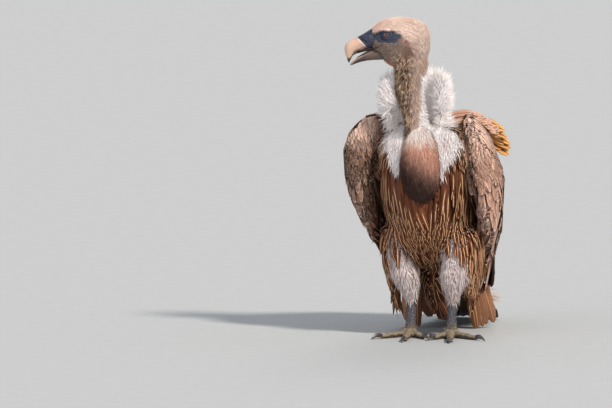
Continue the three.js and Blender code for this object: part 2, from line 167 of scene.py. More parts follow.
# %% A material
class Paint:
    """A material: its own numbers are set on the shader, and what varies is wired in."""

    def __init__(self, name, finish):
        self.material = bpy.data.materials.new(name)
        self.material.use_nodes = True
        self.tree = self.material.node_tree
        self.shader = self.tree.nodes["Principled BSDF"]
        for socket, value in finish.items():
            self.shader.inputs[socket].default_value = value

    def node(self, kind, settings, inputs, out=0):
        """Any node: its type, its settings, its sockets' values or links, and the output to use."""
        made = self.tree.nodes.new(kind)
        for key, value in settings.items():
            setattr(made, key, value)
        for key, value in inputs.items():
            if isinstance(value, Wire):
                self.tree.links.new(value.socket, made.inputs[key])
            else:
                made.inputs[key].default_value = value
        return Wire(self, made.outputs[out])

    def feed(self, **wires):
        for socket, wire in wires.items():
            self.tree.links.new(wire.socket, self.shader.inputs[socket.replace("_", " ")])

    def read(self, name, out="Fac"):
        return self.node("ShaderNodeAttribute", {"attribute_name": name}, {}, out)

    def here(self, stretch=(1, 1, 1)):
        spot = self.node("ShaderNodeTexCoord", {}, {}, "Object")
        return self.node("ShaderNodeVectorMath", {"operation": "MULTIPLY"}, {0: spot, 1: stretch})

    def noise(self, scale, detail=2.0, vector=None):
        vector = vector or self.here()
        return self.node("ShaderNodeTexNoise", {}, {"Vector": vector, "Scale": scale, "Detail": detail})

    def band(self, value, low, high):
        """0 below low, 1 above high, smooth between."""
        smooth = {"interpolation_type": "SMOOTHSTEP"}
        return self.node("ShaderNodeMapRange", smooth, {0: value, 1: low, 2: high, 3: 0.0, 4: 1.0})

    def blend(self, factor, first, second, how="MIX"):
        mode = {"data_type": "RGBA", "blend_type": how}
        return self.node("ShaderNodeMix", mode, {0: factor, 6: first, 7: second}, 2)

    def toned(self, colour, tone):
        """A colour made lighter or darker by a number."""
        grey = self.node("ShaderNodeCombineXYZ", {}, {0: tone, 1: tone, 2: tone})
        return self.blend(1.0, colour, grey, "MULTIPLY")

    def bump(self, height, strength, distance):
        return self.node("ShaderNodeBump", {}, {"Strength": strength, "Distance": distance, "Height": height})


def dye(red, green, blue):
    """A colour from its screen values, 0 to 255, as the linear one that shaders use."""
    linear = (np.array([red, green, blue]) / 255) ** 2.2
    return np.append(linear, 1.0)


print("half grey on the screen is", round(float(dye(128, 128, 128)[0]), 3), "to a shader")

# %% [markdown]
# ## Colours of the plumage
# These are the bird's own colours, each judged as the feather would look in flat
# light. The parts mix them by place, and a soft random field breaks up every border.

# %% Palette
WHITE = dye(248, 243, 240)
SHADE_WHITE = dye(224, 208, 208)
CREAM = dye(244, 220, 204)
PINK = dye(214, 164, 146)
BARE_RED = dye(168, 84, 70)
RUST = dye(120, 68, 42)
DARK_RUST = dye(66, 36, 22)
STREAK = dye(246, 200, 152)
TAN = dye(208, 154, 132)
UMBER = dye(42, 27, 22)
COVERT = dye(228, 180, 158)
COVERT_BROWN = dye(182, 134, 112)
PALE_EDGE = dye(246, 214, 194)
BLACKISH = dye(58, 46, 42)
SLATE = dye(58, 64, 82)
CHEEK_BROWN = dye(112, 94, 82)
HORN = dye(208, 166, 146)
DARK_HORN = dye(40, 36, 36)
LEG_GREY = dye(102, 98, 108)
TOE_TAN = dye(134, 118, 98)
LINE_DARK = dye(52, 46, 42)
print("rust", RUST.round(3), "and white", WHITE.round(3))

# %% Mottling and mixing
WAVES = 14


def mottle(at, size, seed):
    """A soft random field, about -1 to 1, whose patches are about size across."""
    dice = np.random.default_rng(seed)
    waves = dice.normal(size=(WAVES, 3)) * 3.6 / size
    return np.sin(at @ waves.T + dice.uniform(0, 6.28, WAVES)).sum(1) / 4.5


def ramp(value, low, high):
    """0 below low, 1 above high, smooth between, for arrays."""
    share = np.clip((value - low) / (high - low), 0, 1)
    return share * share * (3 - 2 * share)


def mixed(first, second, share):
    """The first colour where share is 0, the second where it is 1."""
    share = np.asarray(share)[..., None]
    return first * (1 - share) + second * share


sample = mottle(np.arange(3000.0).reshape(-1, 3), 20, 1)
print("mottle runs from", round(float(sample.min()), 2), "to", round(float(sample.max()), 2))

# %% [markdown]
# ## Floor and light
# A plain pale floor, a soft lamp high on the bird's left as the main light, wide weak ones in
# front and behind, and a pale surround that fills the shadows. All are distant, so that the
# floor is lit evenly.

# %% Floor
FLOOR_REACH = 60.0
floor_mesh = bpy.data.meshes.new("floor")
corners = [(x * FLOOR_REACH, y * FLOOR_REACH, 0) for x, y in ((-1, -1), (1, -1), (1, 1), (-1, 1))]
floor_mesh.from_pydata(corners, [], [(0, 1, 2, 3)])
floor = bpy.data.objects.new("floor", floor_mesh)
bpy.context.scene.collection.objects.link(floor)
floor_paint = Paint("floor_paint", {"Roughness": 0.9, "Specular IOR Level": 0.1})
speckle = floor_paint.noise(30.0)
floor_paint.feed(Base_Color=floor_paint.blend(speckle, dye(172, 174, 174), dye(180, 182, 182)))
floor_mesh.materials.append(floor_paint.material)
floor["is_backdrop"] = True
print("floor", 2 * FLOOR_REACH, "m across")

# %% Lamps
def lamp(name, side, up, front, softness, strength, colour):
    """A distant soft lamp: side, up and front say where it stands, as the camera sees the bird."""
    data = bpy.data.lights.new(name, "SUN")
    data.angle, data.energy, data.color = math.radians(softness), strength, colour
    made = bpy.data.objects.new(name, data)
    stand = right * side + np.array([back[0], back[1], 0]) * front + UP * up
    made.rotation_euler = Vector(-stand).to_track_quat("-Z", "Y").to_euler()
    made.location = stand
    bpy.context.scene.collection.objects.link(made)


lamp("main_lamp", 1.5, 2.2, 2.0, 7, 3.5, (1.0, 0.94, 0.86))
lamp("fill_lamp", -1.8, 0.9, 1.6, 50, 0.5, (0.82, 0.88, 1.0))
lamp("rear_lamp", 0.4, 1.8, -2.4, 30, 0.7, (1.0, 0.97, 0.94))
world = bpy.data.worlds.new("surround")
world.use_nodes = True
surround = world.node_tree.nodes["Background"]
surround.inputs["Color"].default_value = (0.80, 0.84, 0.92, 1)
surround.inputs["Strength"].default_value = 0.56
bpy.context.scene.world = world
bpy.context.scene.view_settings.view_transform = "Standard"
print("lamps", len(bpy.data.lights))

# %% [markdown]
# ## The skin
# All the flesh is one closed surface. Copies of the flesh solids are joined and rebuilt by
# the voxel remesher, which melts them into one, then smoothed. The head, legs and toes get
# finer faces. Last, each place moves inwards by the depth of the coat that grows there.

# %% Which solids are flesh, and how deep the coat on each is
DEPTHS = {
    "head": 1.0, "neck": 3.0, "ruff": 17.0, "crop": 4.0, "trunk": 10.0, "undertail_coverts": 8.0,
    "wing_left_coverts": 7.0, "wing_right_coverts": 7.0, "thigh_left": 8.0, "thigh_right": 8.0,
    "flank_left": 7.0, "flank_right": 7.0, "tarsus_left": 0.9, "tarsus_right": 0.9,
}
TOES = [f"toe_{toe}_{side}" for side in ("left", "right") for toe in ("middle", "inner", "outer", "hind")]
DEPTHS.update({toe: 0.7 for toe in TOES})
FLESH = list(DEPTHS)
KIND = {name: i for i, name in enumerate(FLESH)}
print("flesh solids", len(FLESH))

# %% Meshes as arrays
def pull(items, key, width, kind=float):
    """Reads one property of all of a mesh's corners, edges or faces."""
    out = np.empty(len(items) * width, kind)
    items.foreach_get(key, out)
    return out.reshape(-1, width)


def arrays(mesh):
    """A mesh's corners as an array, and its triangles."""
    mesh.calc_loop_triangles()
    return pull(mesh.vertices, "co", 3), pull(mesh.loop_triangles, "vertices", 3, int)


def edges_of(mesh):
    return pull(mesh.edges, "vertices", 2, int)


def normals_of(mesh):
    return pull(mesh.vertices, "normal", 3)


def put(mesh, at):
    mesh.vertices.foreach_set("co", at.ravel())
    mesh.update()


def above_floor(at):
    return np.maximum(at, [-np.inf, -np.inf, 0.0])


def store(mesh, key, values, kind="FLOAT", field="value"):
    """Keeps a number, or a colour, for each corner, where the paints can read it."""
    layer = mesh.attributes.new(key, kind, "POINT")
    layer.data.foreach_set(field, np.ascontiguousarray(values, dtype=np.float32).ravel())


def joined(names):
    """Copies of solids in one set of arrays, with each triangle's solid."""
    corners, faces, owners, count = [], [], [], 0
    for index, name in enumerate(names):
        at, triangles = arrays(nodes[name].data)
        corners.append(at)
        faces.append(triangles + count)
        owners.append(np.full(len(triangles), index))
        count += len(at)
    return np.concatenate(corners), np.concatenate(faces), np.concatenate(owners)


flesh_at, flesh_faces, flesh_owner = joined(FLESH)
flesh_tree = BVHTree.FromPolygons(flesh_at.tolist(), flesh_faces.tolist())


def kinds(points):
    """The flesh solid nearest to each point."""
    return flesh_owner[[flesh_tree.find_nearest(p)[2] for p in points.tolist()]]


print("flesh triangles", len(flesh_faces))

# %% New objects, remeshed and smoothed
def new_object(name, corners, faces):
    mesh = bpy.data.meshes.new(name)
    mesh.from_pydata([tuple(c) for c in corners], [], [tuple(int(v) for v in f) for f in faces])
    made = bpy.data.objects.new(name, mesh)
    bpy.context.scene.collection.objects.link(made)
    return made


def remeshed(obj, voxel):
    """Rebuilds an object as one even closed surface."""
    modifier = obj.modifiers.new("melt", "REMESH")
    modifier.mode, modifier.voxel_size = "VOXEL", voxel
    made = bpy.data.meshes.new_from_object(obj.evaluated_get(bpy.context.evaluated_depsgraph_get()))
    obj.modifiers.clear()
    obj.data = made
    return obj


def spread(values, pairs, turns):
    """Averages values over neighbours, turns times."""
    count = len(values)
    links = np.bincount(pairs.ravel(), minlength=count).astype(float)[:, None]
    values = values.reshape(count, -1).astype(float)
    start, end = np.concatenate([pairs, pairs[:, ::-1]]).T
    for _ in range(turns):
        sums = [np.bincount(start, column[end], count) for column in values.T]
        values = np.stack(sums, 1) / links
    return values


def relaxed(at, pairs, turns, amount=1.0):
    """Smooths a surface without shrinking it: a step in, then a slightly larger step out."""
    amount = np.broadcast_to(amount, len(at))[:, None]
    for _ in range(turns):
        for step in (0.52, -0.54):
            at = at + (spread(at, pairs, 1) - at) * (step * amount)
    return at


print("tools for skin ready")

# %% Melt the flesh together
SKIN_VOXEL = 0.0042
skin = remeshed(new_object("skin", flesh_at, flesh_faces), SKIN_VOXEL)
at, _ = arrays(skin.data)
put(skin.data, relaxed(at, edges_of(skin.data), 12))
print("skin faces", len(skin.data.polygons))

# %% Finer faces on the head, legs and toes, finest round the eyes
def refine(mesh, chosen):
    """Splits the faces between chosen corners in four."""
    shape = bmesh.new()
    shape.from_mesh(mesh)
    shape.verts.ensure_lookup_table()
    edges = [e for e in shape.edges if chosen[e.verts[0].index] and chosen[e.verts[1].index]]
    bmesh.ops.subdivide_edges(shape, edges=edges, cuts=1, use_grid_fill=True)
    bmesh.ops.triangulate(shape, faces=[f for f in shape.faces if len(f.verts) > 4])
    shape.to_mesh(mesh)
    shape.free()


EYE = np.array([29.0, 11.5, 21.0])
EYE_RADIUS, EYE_SURROUND = 10.5, 24
fine = [KIND[name] for name in ("head", *TOES, "tarsus_left", "tarsus_right")]
at, _ = arrays(skin.data)
refine(skin.data, np.isin(kinds(at), fine))
at, _ = arrays(skin.data)
own = head_plan(plan(at))
from_eye = np.stack([own[:, 0], own[:, 1], np.abs(own[:, 2])], 1) - EYE
refine(skin.data, np.linalg.norm(from_eye, axis=1) < EYE_SURROUND)
at, _ = arrays(skin.data)
put(skin.data, relaxed(at, edges_of(skin.data), 10, np.isin(kinds(at), fine) * 1.0))
print("finer skin faces", len(skin.data.polygons))

# %% Draw the skin in by the coat's depth
SHARE_OF_LIMB = 0.36
THICKEST = 0.2
at, triangles = arrays(skin.data)
pairs = edges_of(skin.data)
depth = spread(np.array([DEPTHS[n] for n in FLESH])[kinds(at)] / 1000, pairs, 10)[:, 0]
outward = spread(normals_of(skin.data), pairs, 4)
outward /= np.linalg.norm(outward, axis=1)[:, None]
body_tree = BVHTree.FromPolygons(at.tolist(), triangles.tolist())
inside = [body_tree.ray_cast(Vector(p - n * 0.0005), Vector(-n))[3] for p, n in zip(at, outward)]
thick = np.minimum([far or THICKEST for far in inside], THICKEST)
thick = spread(thick, pairs, 6)[:, 0]
at = at - outward * np.minimum(depth, thick * SHARE_OF_LIMB)[:, None]
put(skin.data, at)
at, _ = arrays(skin.data)
put(skin.data, relaxed(at, pairs, 4))
print("skin drawn in by up to", round(float(depth.max() * 1000), 1), "mm")

# %% [markdown]
# ## The face
# A vulture's face has a bony brow over the eye, hollow lores in front of it, a full cheek,
# an ear hole behind and a fold that runs back from the corner of the mouth. Each is a soft
# bell of movement in or out, which keeps the skin one surface.

# %% Brow, hollows, cheek, ear and mouth fold
def bell(value, width):
    return np.exp(-((value / width) ** 2))


def mouth_fold(a, u):
    """1 on the line that runs back from the corner of the bill."""
    line = bell(u - np.interp(a, [38, 60], [-11.5, -22]), 1.5)
    return line * np.clip((a - 36) / 4, 0, 1) * (a < 62)


at, _ = arrays(skin.data)
a, u, o = head_plan(plan(at)).T
brow = 2.4 * bell(a - 32, 14) * bell(u - 21.5, 3.2)
lores = 1.5 * bell(a - 50, 7) * bell(u - 5, 8)
under_eye = 1.1 * bell(a - 29, 15) * bell(u + 2.5, 4.5)
cheek = 2.0 * bell(a - 12, 15) * bell(u + 25, 11)
ear = np.hypot((a + 13) / 6.0, (u + 5) / 8.0)
wrinkles = 0.5 * np.sin(u * 1.9 + a * 0.4) * bell(a - 22, 16) * bell(u + 24, 12)
raised = brow - lores - under_eye
raised += cheek - 2.6 * bell(ear, 0.6) + 1.0 * bell(ear - 1.0, 0.3) - 1.8 * mouth_fold(a, u)
raised += wrinkles
at_sides = np.clip((np.abs(o) - 6) / 8, 0, 1) * (kinds(at) == KIND["head"])
outward = spread(normals_of(skin.data), edges_of(skin.data), 2)
put(skin.data, above_floor(at + outward * (raised * at_sides / 1000)[:, None]))
print("face raised and sunk by", round(float(raised.min()), 1), "to", round(float(raised.max()), 1), "mm")

# %% [markdown]
# ## Eyelids
# The lids are thick bare folds that hug the eyeball and leave an almond-shaped opening.
# Rings of points run from just inside the opening out over the ball and on to the skin round
# the socket, and they join the skin's own mesh.

# %% Lids
EYE_SEAT = EYE - [0, 0, 1.6]
LID_POINTS, SOCKET_RADIUS, OUTSIDE = 64, 13.2, 60.0
LID_RINGS = [(-0.25, -0.7), (0.0, 0.3), (0.4, 0.85), (1.0, 0.95), (1.6, 0.55), (2.2, 0.9)]
LID_BLEND = [0.12, 0.3, 0.5, 0.7, 0.86, 0.96, 1.0]


def belts(rows, ring):
    """The faces between neighbouring rings of points."""
    pairs = [(k * ring, r, (r + 1) % ring) for k in range(rows - 1) for r in range(ring)]
    return [(low + r, low + after, low + ring + after, low + ring + r) for low, r, after in pairs]


def lids(turn):
    """Rings round one eye: over the ball at first, then out to the skin round the socket."""
    spin = np.arange(LID_POINTS) / LID_POINTS * 2 * np.pi
    way = np.stack([np.cos(spin), np.sin(spin)], 1)
    tilt = spin - 0.12
    half_high = np.where(np.sin(tilt) > 0, 3.5, 3.9)
    opening = 1 / np.hypot(np.cos(tilt) / 5.0, np.sin(tilt) / half_high)
    rows = []
    for out, over in LID_RINGS:
        far = opening + out
        bulge = EYE_SEAT[2] + np.sqrt((EYE_RADIUS + over) ** 2 - far**2)
        rows.append(np.column_stack([way * far[:, None], turn * bulge]))
    rim = way * SOCKET_RADIUS
    face = BVHTree.FromPolygons(*(x.tolist() for x in arrays(skin.data)))
    starts = from_head(rim[:, 0] + EYE[0], rim[:, 1] + EYE[1], np.full(LID_POINTS, OUTSIDE * turn))
    hits = np.array([tuple(face.ray_cast(Vector(p), Vector(-CHEEK * turn))[0]) for p in starts])
    rim = np.column_stack([rim, head_plan(plan(hits))[:, 2]])
    edge = rows[-1]
    for share in LID_BLEND:
        row = edge * (1 - share) + rim * share
        crease = 0.25 * np.sin(share * 19) * (share < 0.9)
        row[:, 2] += turn * (0.9 * np.sin(np.pi * share) + crease - 0.9 * (share > 0.99))
        rows.append(row)
    own = np.concatenate(rows) + [EYE[0], EYE[1], 0]
    faces = belts(len(rows), LID_POINTS)
    return new_object("lids", from_head(*own.T), [f[::-1] for f in faces] if turn > 0 else faces)


shape = bmesh.new()
shape.from_mesh(skin.data)
for turn in (1, -1):
    made = lids(turn)
    shape.from_mesh(made.data)
    bpy.data.objects.remove(made)
shape.to_mesh(skin.data)
shape.free()
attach(skin, "root")
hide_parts(*FLESH)
print("skin faces with lids", len(skin.data.polygons))

# %% [markdown]
# ## A map of the skin
# Each feather needs a place of its own on a flat map, so that its colours can be stored
# with the finished model. The skin's own parts are rolled out one by one, each round its
# long axis like a label off a bottle, and the labels are packed on one square.

# %% Roll each part out
GIRTH = 6.6
RIM = 0.002
GROUND_AT, GROUND_FACES = arrays(skin.data)
GROUND_NORMALS = normals_of(skin.data)
GROUND_KIND = kinds(GROUND_AT[GROUND_FACES].mean(1))
charts = []
for index in range(len(FLESH)):
    own = GROUND_AT[GROUND_FACES[GROUND_KIND == index]].reshape(-1, 3)
    centre = own.mean(0)
    axes = np.linalg.svd((own - centre)[:: max(1, len(own) // 2000)], full_matrices=False)[2]
    along = (own - centre) @ axes[0]
    radius = np.linalg.norm((own - centre) @ axes[1:].T, axis=1).mean()
    span = {"low": along.min(), "high": along.max(), "round": radius * GIRTH}
    charts.append({"centre": centre, "axes": axes, **span})


def pack(width):
    """Packs the labels in rows of this width and returns how tall they come."""
    left, low, row = 0.0, 0.0, 0.0
    for chart in sorted(charts, key=lambda c: c["low"] - c["high"]):
        wide, tall = chart["round"] + 2 * RIM, chart["high"] - chart["low"] + 2 * RIM
        if left + wide > width:
            left, low, row = 0.0, low + row, 0.0
        chart["corner"] = (left, low)
        left, row = left + wide, max(row, tall)
    return low + row


MAP_SIZE = next(w for w in np.arange(0.6, 4, 0.02) if pack(w) <= w)
print("map", round(float(MAP_SIZE), 2), "m across, parts", len(charts))

# %% Where a point lies on the map
def unroll(points, kind):
    """Where points of a given part lie on the map, 0 to 1."""
    out = np.zeros((len(points), 2))
    for index, chart in enumerate(charts):
        chosen = kind == index
        rel = (points[chosen] - chart["centre"]) @ chart["axes"].T
        turn = np.arctan2(rel[:, 1], rel[:, 2]) / (2 * np.pi) + 0.5
        across = chart["corner"][0] + turn * (chart["round"] - RIM)
        out[chosen] = np.stack([across, chart["corner"][1] + rel[:, 0] - chart["low"] + RIM], 1)
    return out / MAP_SIZE


def set_map(mesh, uv):
    """Stores the map that the finished model's colours are kept in."""
    layer = mesh.uv_layers.new(name="OFBake")
    layer.data.foreach_set("uv", np.clip(uv, 0, 1).ravel())


def loops_of(mesh):
    return pull(mesh.loops, "vertex_index", 1, int)[:, 0]


sizes = pull(skin.data.polygons, "loop_total", 1, int)[:, 0]
middles = pull(skin.data.polygons, "center", 3)
face_kind = kinds(middles)
loop_kind = np.repeat(face_kind, sizes)
skin_uv = unroll(GROUND_AT[loops_of(skin.data)], loop_kind)
face_u = np.repeat(unroll(middles, face_kind)[:, 0], sizes)
wrap = np.array([c["round"] for c in charts])[loop_kind] / MAP_SIZE
skin_uv[:, 0] -= np.round((skin_uv[:, 0] - face_u) / wrap) * wrap
set_map(skin.data, skin_uv)
print("skin rolled out on", len(skin_uv), "face corners")

# %% [markdown]
# ## Tools for plumage
# A feather follows the skin under it: its shaft starts at a root, heads the way that the
# plumage lies there, and settles on the next piece of skin at every step. Each feather is
# a thin closed solid with an arched top and a flat underside. Thousands of them are made
# together as arrays and become one mesh.

# %% Scatter roots
CROWDED = 2.2
ground_tree = BVHTree.FromPolygons(GROUND_AT.tolist(), GROUND_FACES.tolist())
CORNERS = GROUND_AT[GROUND_FACES]
CENTRES = plan(CORNERS.mean(1))
SIDES = np.cross(CORNERS[:, 1] - CORNERS[:, 0], CORNERS[:, 2] - CORNERS[:, 0])
AREAS = np.linalg.norm(SIDES, axis=1) * 0.5e6
FACING = SIDES / np.maximum(np.linalg.norm(SIDES, axis=1), 1e-12)[:, None]


def scatter(chosen, gap, seed, stretch=1.0):
    """Roots on the chosen faces, none nearer its neighbour than gap (in mm, one for each face), or
    than stretch times that up and down."""
    dice = np.random.default_rng(seed)
    gap = np.broadcast_to(gap, len(AREAS))
    share = np.where(chosen, AREAS / gap**2 / stretch, 0)
    count = int(share.sum() * CROWDED)
    face = dice.choice(len(AREAS), count, p=share / share.sum())
    a, b = dice.random(count), dice.random(count)
    a, b = np.where(a + b > 1, 1 - a, a), np.where(a + b > 1, 1 - b, b)
    c = CORNERS[face]
    at = c[:, 0] + (c[:, 1] - c[:, 0]) * a[:, None] + (c[:, 2] - c[:, 0]) * b[:, None]
    tree = KDTree(count)
    packed = (at / [1, 1, stretch]).tolist()
    for i, p in enumerate(packed):
        tree.insert(p, i)
    tree.balance()
    free, kept = np.ones(count, bool), []
    for i, p in enumerate(packed):
        if free[i]:
            kept.append(i)
            free[[hit[1] for hit in tree.find_range(p, gap[face[i]] / 1000)]] = False
    return at[kept], face[kept]


print("skin for feathers", round(AREAS.sum() / 1e6, 2), "square metres")

# %% Lay shafts over the skin
def unit(vectors):
    return vectors / np.maximum(np.linalg.norm(vectors, axis=-1, keepdims=True), 1e-9)


def drop(points):
    """The nearest skin to each point, and the smooth direction out of it."""
    hits = [ground_tree.find_nearest(p) for p in points.tolist()]
    at = np.array([tuple(h[0]) for h in hits])
    face = np.array([h[2] for h in hits])
    a, b, c = CORNERS[face].transpose(1, 0, 2)
    total = np.linalg.norm(np.cross(b - a, c - a), axis=1) + 1e-15
    wb = np.linalg.norm(np.cross(at - a, c - a), axis=1) / total
    wc = np.linalg.norm(np.cross(b - a, at - a), axis=1) / total
    na, nb, nc = GROUND_NORMALS[GROUND_FACES[face]].transpose(1, 0, 2)
    return at, unit(na * (1 - wb - wc)[:, None] + nb * wb[:, None] + nc * wc[:, None])


def lay(at, heading, length, stations, hold):
    """Runs shafts from their roots. hold is how closely they keep to the skin: they let go of
    it where it turns away sharply or lies far below."""
    at, up = drop(at)
    way = unit(heading - up * (heading * up).sum(1)[:, None])
    places, ups = [at], [up]
    for step in np.diff(stations):
        ahead = at + way * (length * step)[:, None]
        low, normal = drop(ahead)
        apart = np.linalg.norm(low - ahead, axis=1)
        alike = np.clip((normal * up).sum(1) * 1.6 - 0.6, 0, 1)
        grip = (hold * alike * np.clip(1.6 - apart / 0.012, 0, 1))[:, None]
        after = ahead + (low - ahead) * grip
        up = unit(up + (normal - up) * grip)
        way = unit(after - at)
        way = unit(way - up * (way * up).sum(1)[:, None])
        at = after
        places.append(at)
        ups.append(up)
    return np.stack(places, 1), np.stack(ups, 1)


print("the point under the crown is", (drop(place([[-41, -117, 720]]))[0] * 1000).round(1), "mm")

# %% Outlines and cross-sections of a vane
FLAT = [(-1, 0.0), (0, 1.0), (1, 0.0)]
BROAD = [(-1, 0.0), (-0.5, 0.62), (0, 1.0), (0.5, 0.62), (1, 0.0)]


def blade(stations, base=0.25, tip=0.7, point=2.0, root=0.3):
    """Half width along a feather, 0 to 1: it widens to base, stays, and closes from tip."""
    rise = root + (1 - root) * np.sin(np.clip(stations / base, 0, 1) * np.pi / 2)
    fall = 1 - np.clip((stations - tip) / (1 - tip), 0, 1) ** point
    return rise * np.sqrt(np.maximum(fall, 0.0)) + 0.012


def vane(base, tip, point, root=0.3):
    """A blade cut to other proportions."""
    return lambda stations: blade(stations, base, tip, point, root)


def spike(stations):
    """The outline of a tuft of down: quickly wide, then drawn out to a point."""
    rise = 0.35 + 0.65 * np.sin(np.clip(stations * 1.6, 0, 1) * np.pi / 2) * (1 - stations ** 2.5)
    return rise - 0.33 * stations


print("a blade's half widths", blade(np.linspace(0, 1, 5)).round(2))

# %% Corners and faces of many vanes at once
FLOOR_GAP = 0.0002


def vane_corners(centre, ups, half, rise, ribs, roll):
    """Arched vanes round their shafts, as (feather, station, rib, 3)."""
    way = unit(np.gradient(centre, axis=1))
    side = unit(np.cross(way, ups))
    over = np.cross(side, way)
    if roll is not None:
        turn = roll[:, None, None]
        side, over = side * np.cos(turn) + over * np.sin(turn), over * np.cos(turn) - side * np.sin(turn)
    across, arch = np.array(ribs).T
    wide = np.where(across < 0, half[:, :, :1] * across, half[:, :, 1:] * across)
    mean = half.mean(2)
    share = np.minimum(mean / np.maximum(mean.max(1), 1e-9)[:, None], 1)
    high = np.broadcast_to(rise, mean.shape)[:, :, None] * arch * share[:, :, None]
    at = centre[:, :, None] + side[:, :, None] * wide[..., None] + over[:, :, None] * high[..., None]
    at[..., 2] = np.maximum(at[..., 2], FLOOR_GAP)
    return at


def vane_faces(count, steps, ring):
    """The corners of all faces in a row, and where each face starts: belts, then both ends."""
    first = (np.arange(count) * steps * ring)[:, None, None]
    quads = (first + np.array(belts(steps, ring))[None]).reshape(-1, 4)
    root_end = first[:, 0] + np.arange(ring)[::-1]
    tip_end = first[:, 0] + (steps - 1) * ring + np.arange(ring)
    ends = np.concatenate([root_end, tip_end])
    starts = np.concatenate([np.arange(len(quads)) * 4, quads.size + np.arange(len(ends)) * ring])
    return np.append(quads, ends).astype(np.int32), starts.astype(np.int32)


print("one feather of 4 stations has", len(vane_faces(1, 4, len(FLAT))[1]), "faces")

# %% One mesh of many feathers
tally = {}


def settle(piece, paint, stands_for=()):
    """Makes a piece's faces smooth, paints it, and enters it in the model."""
    mesh = piece.data
    mesh.polygons.foreach_set("use_smooth", np.ones(len(mesh.polygons), bool))
    mesh.materials.append(paint.material)
    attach(piece, "root")
    if stands_for:
        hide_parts(*stands_for)


def plumes(name, paint, centre, ups, half, rise, ribs, colour, uv, patch, stations,
           roll=None, lot=None, stands_for=()):
    """Makes one mesh of all the feathers: centre and ups are (feather, station, 3), half in metres
    is (feather, station) or (feather, station, 2), and colour is one for each feather. Each
    feather gets a patch of the map of that size round its uv."""
    shape = (*centre.shape[:2], len(ribs))
    count, steps, ring = shape
    half = half if half.ndim == 3 else np.stack([half, half], 2)
    at = vane_corners(centre, ups, half, rise, ribs, roll)
    loops, starts = vane_faces(count, steps, ring)
    mesh = bpy.data.meshes.new(name)
    mesh.vertices.add(count * steps * ring)
    mesh.vertices.foreach_set("co", at.ravel())
    mesh.loops.add(len(loops))
    mesh.loops.foreach_set("vertex_index", loops)
    mesh.polygons.add(len(starts))
    mesh.polygons.foreach_set("loop_start", starts)
    mesh.update(calc_edges=True)
    lots = np.random.default_rng(len(name)).random(count) if lot is None else lot
    along = np.broadcast_to(stations[None, :, None], shape)
    across = np.broadcast_to(np.array(ribs)[:, 0], shape)
    store(mesh, "along", along)
    store(mesh, "across", across)
    store(mesh, "lot", np.broadcast_to(lots[:, None, None], shape))
    store(mesh, "dye", np.broadcast_to(colour[:, None, None], (*shape, 4)), "FLOAT_COLOR", "color")
    spot = np.stack([across * 0.5, along - 0.5], -1) * np.broadcast_to(patch, (2,))
    set_map(mesh, (uv[:, None, None] + spot).reshape(-1, 2)[loops])
    made = bpy.data.objects.new(name, mesh)
    bpy.context.scene.collection.objects.link(made)
    settle(made, paint, stands_for)
    tally[name] = count * ((steps - 1) * ring * 2 + 2 * (ring - 2))
    print(name, count, "feathers,", tally[name], "triangles")


print("tools for plumage ready")

# %% A coat over part of the skin
def each(value, spot):
    """A size for each root, from a number or from a function of place."""
    return value(spot) if callable(value) else np.full(len(spot), float(value))


def coat(name, paint, chosen, gap, length, half, heading, colour, *, seed, slot, shape, steps=4, ends=None,
         lift=(0.4, 2.0), swing=0.12, hold=1.0, rise=0.25, ribs=FLAT, curl=0.0, patch=0.003, vary=0.2,
         roll=0.0, stray=14.0, stretch=1.0, uneven=0.25, tile=0.0, fray=0.0, steady=-1.0):
    """A coat over the chosen faces. length, half and lift are in mm; heading and colour are found
    for each root from its plan place. swing turns feathers at random, in radians, vary changes
    their sizes, uneven their lift, and curl bends their tips out. tile tips every feather over to
    one side, so that it laps its neighbour, roll tips each its own way, and fray roughens edges.
    Left out are feathers whose tips stray further than that from the flesh, in mm, and those
    that the skin under them turns further from their heading than steady allows."""
    dice = np.random.default_rng(seed)
    at, face = scatter(chosen, gap, seed, stretch)
    spot, count = plan(at), len(at)
    facing = FACING[face]
    size = 1 + vary * dice.uniform(-1, 1, count)
    long = each(length, spot) * size / 1000
    wide = each(half, spot) * size / 1000
    stations = np.linspace(0, 1, steps) if ends is None else np.array(ends)
    way = unit(heading(spot, facing))
    turn = dice.normal(0, swing, count)
    across = np.cross(facing, way)
    way = way * np.cos(turn)[:, None] + across * np.sin(turn)[:, None]
    places, ups = lay(at, way, long, stations, hold)
    low, high = lift
    climb = low + (high - low) * stations[None] * (1 + uneven * dice.uniform(-1, 1, (count, 1)))
    climb = climb + curl * stations[None] ** 3 * dice.uniform(0, 1, (count, 1))
    centre = places + ups * climb[..., None] / 1000
    near = np.array([flesh_tree.find_nearest(p)[3] for p in centre[:, -1].tolist()]) * 1000 < stray
    near &= (unit(centre[:, -1] - centre[:, 0]) * way).sum(1) > steady
    centre, ups, wide, at, face, spot, facing = (v[near] for v in (centre, ups, wide, at, face, spot, facing))
    count = len(at)
    kind = GROUND_KIND[face]
    rough = 1 + fray * dice.normal(0, 1, (count, len(stations), 2))
    wide = (wide[:, None] * shape(stations)[None])[..., None] * rough
    plumes(name, paint, centre, ups, wide, wide.mean(2).max(1)[:, None] * rise, ribs,
           colour(spot, facing, kind), unroll(at, kind), patch, stations,
           tile + dice.normal(0, roll, count), dice.random(count))


def part(*names):
    """Which of the skin's faces belong to these solids."""
    return np.isin(GROUND_KIND, [KIND[name] for name in names])


def toward(x, y, z):
    """A heading that is the same everywhere."""
    return lambda spot, facing: np.tile([x, y, z], (len(spot), 1))


downwards = toward(0.0, 0.0, -1.0)
print("faces of the neck", part("neck").sum())

# %% [markdown]
# ## Paint for feathers
# Every feather carries its own base colour, its place along and across the vane, and a
# random number. One recipe turns those into a shaft line, a paler margin, a darker or
# lighter tip and fine barbs, so all the coats look like one bird.

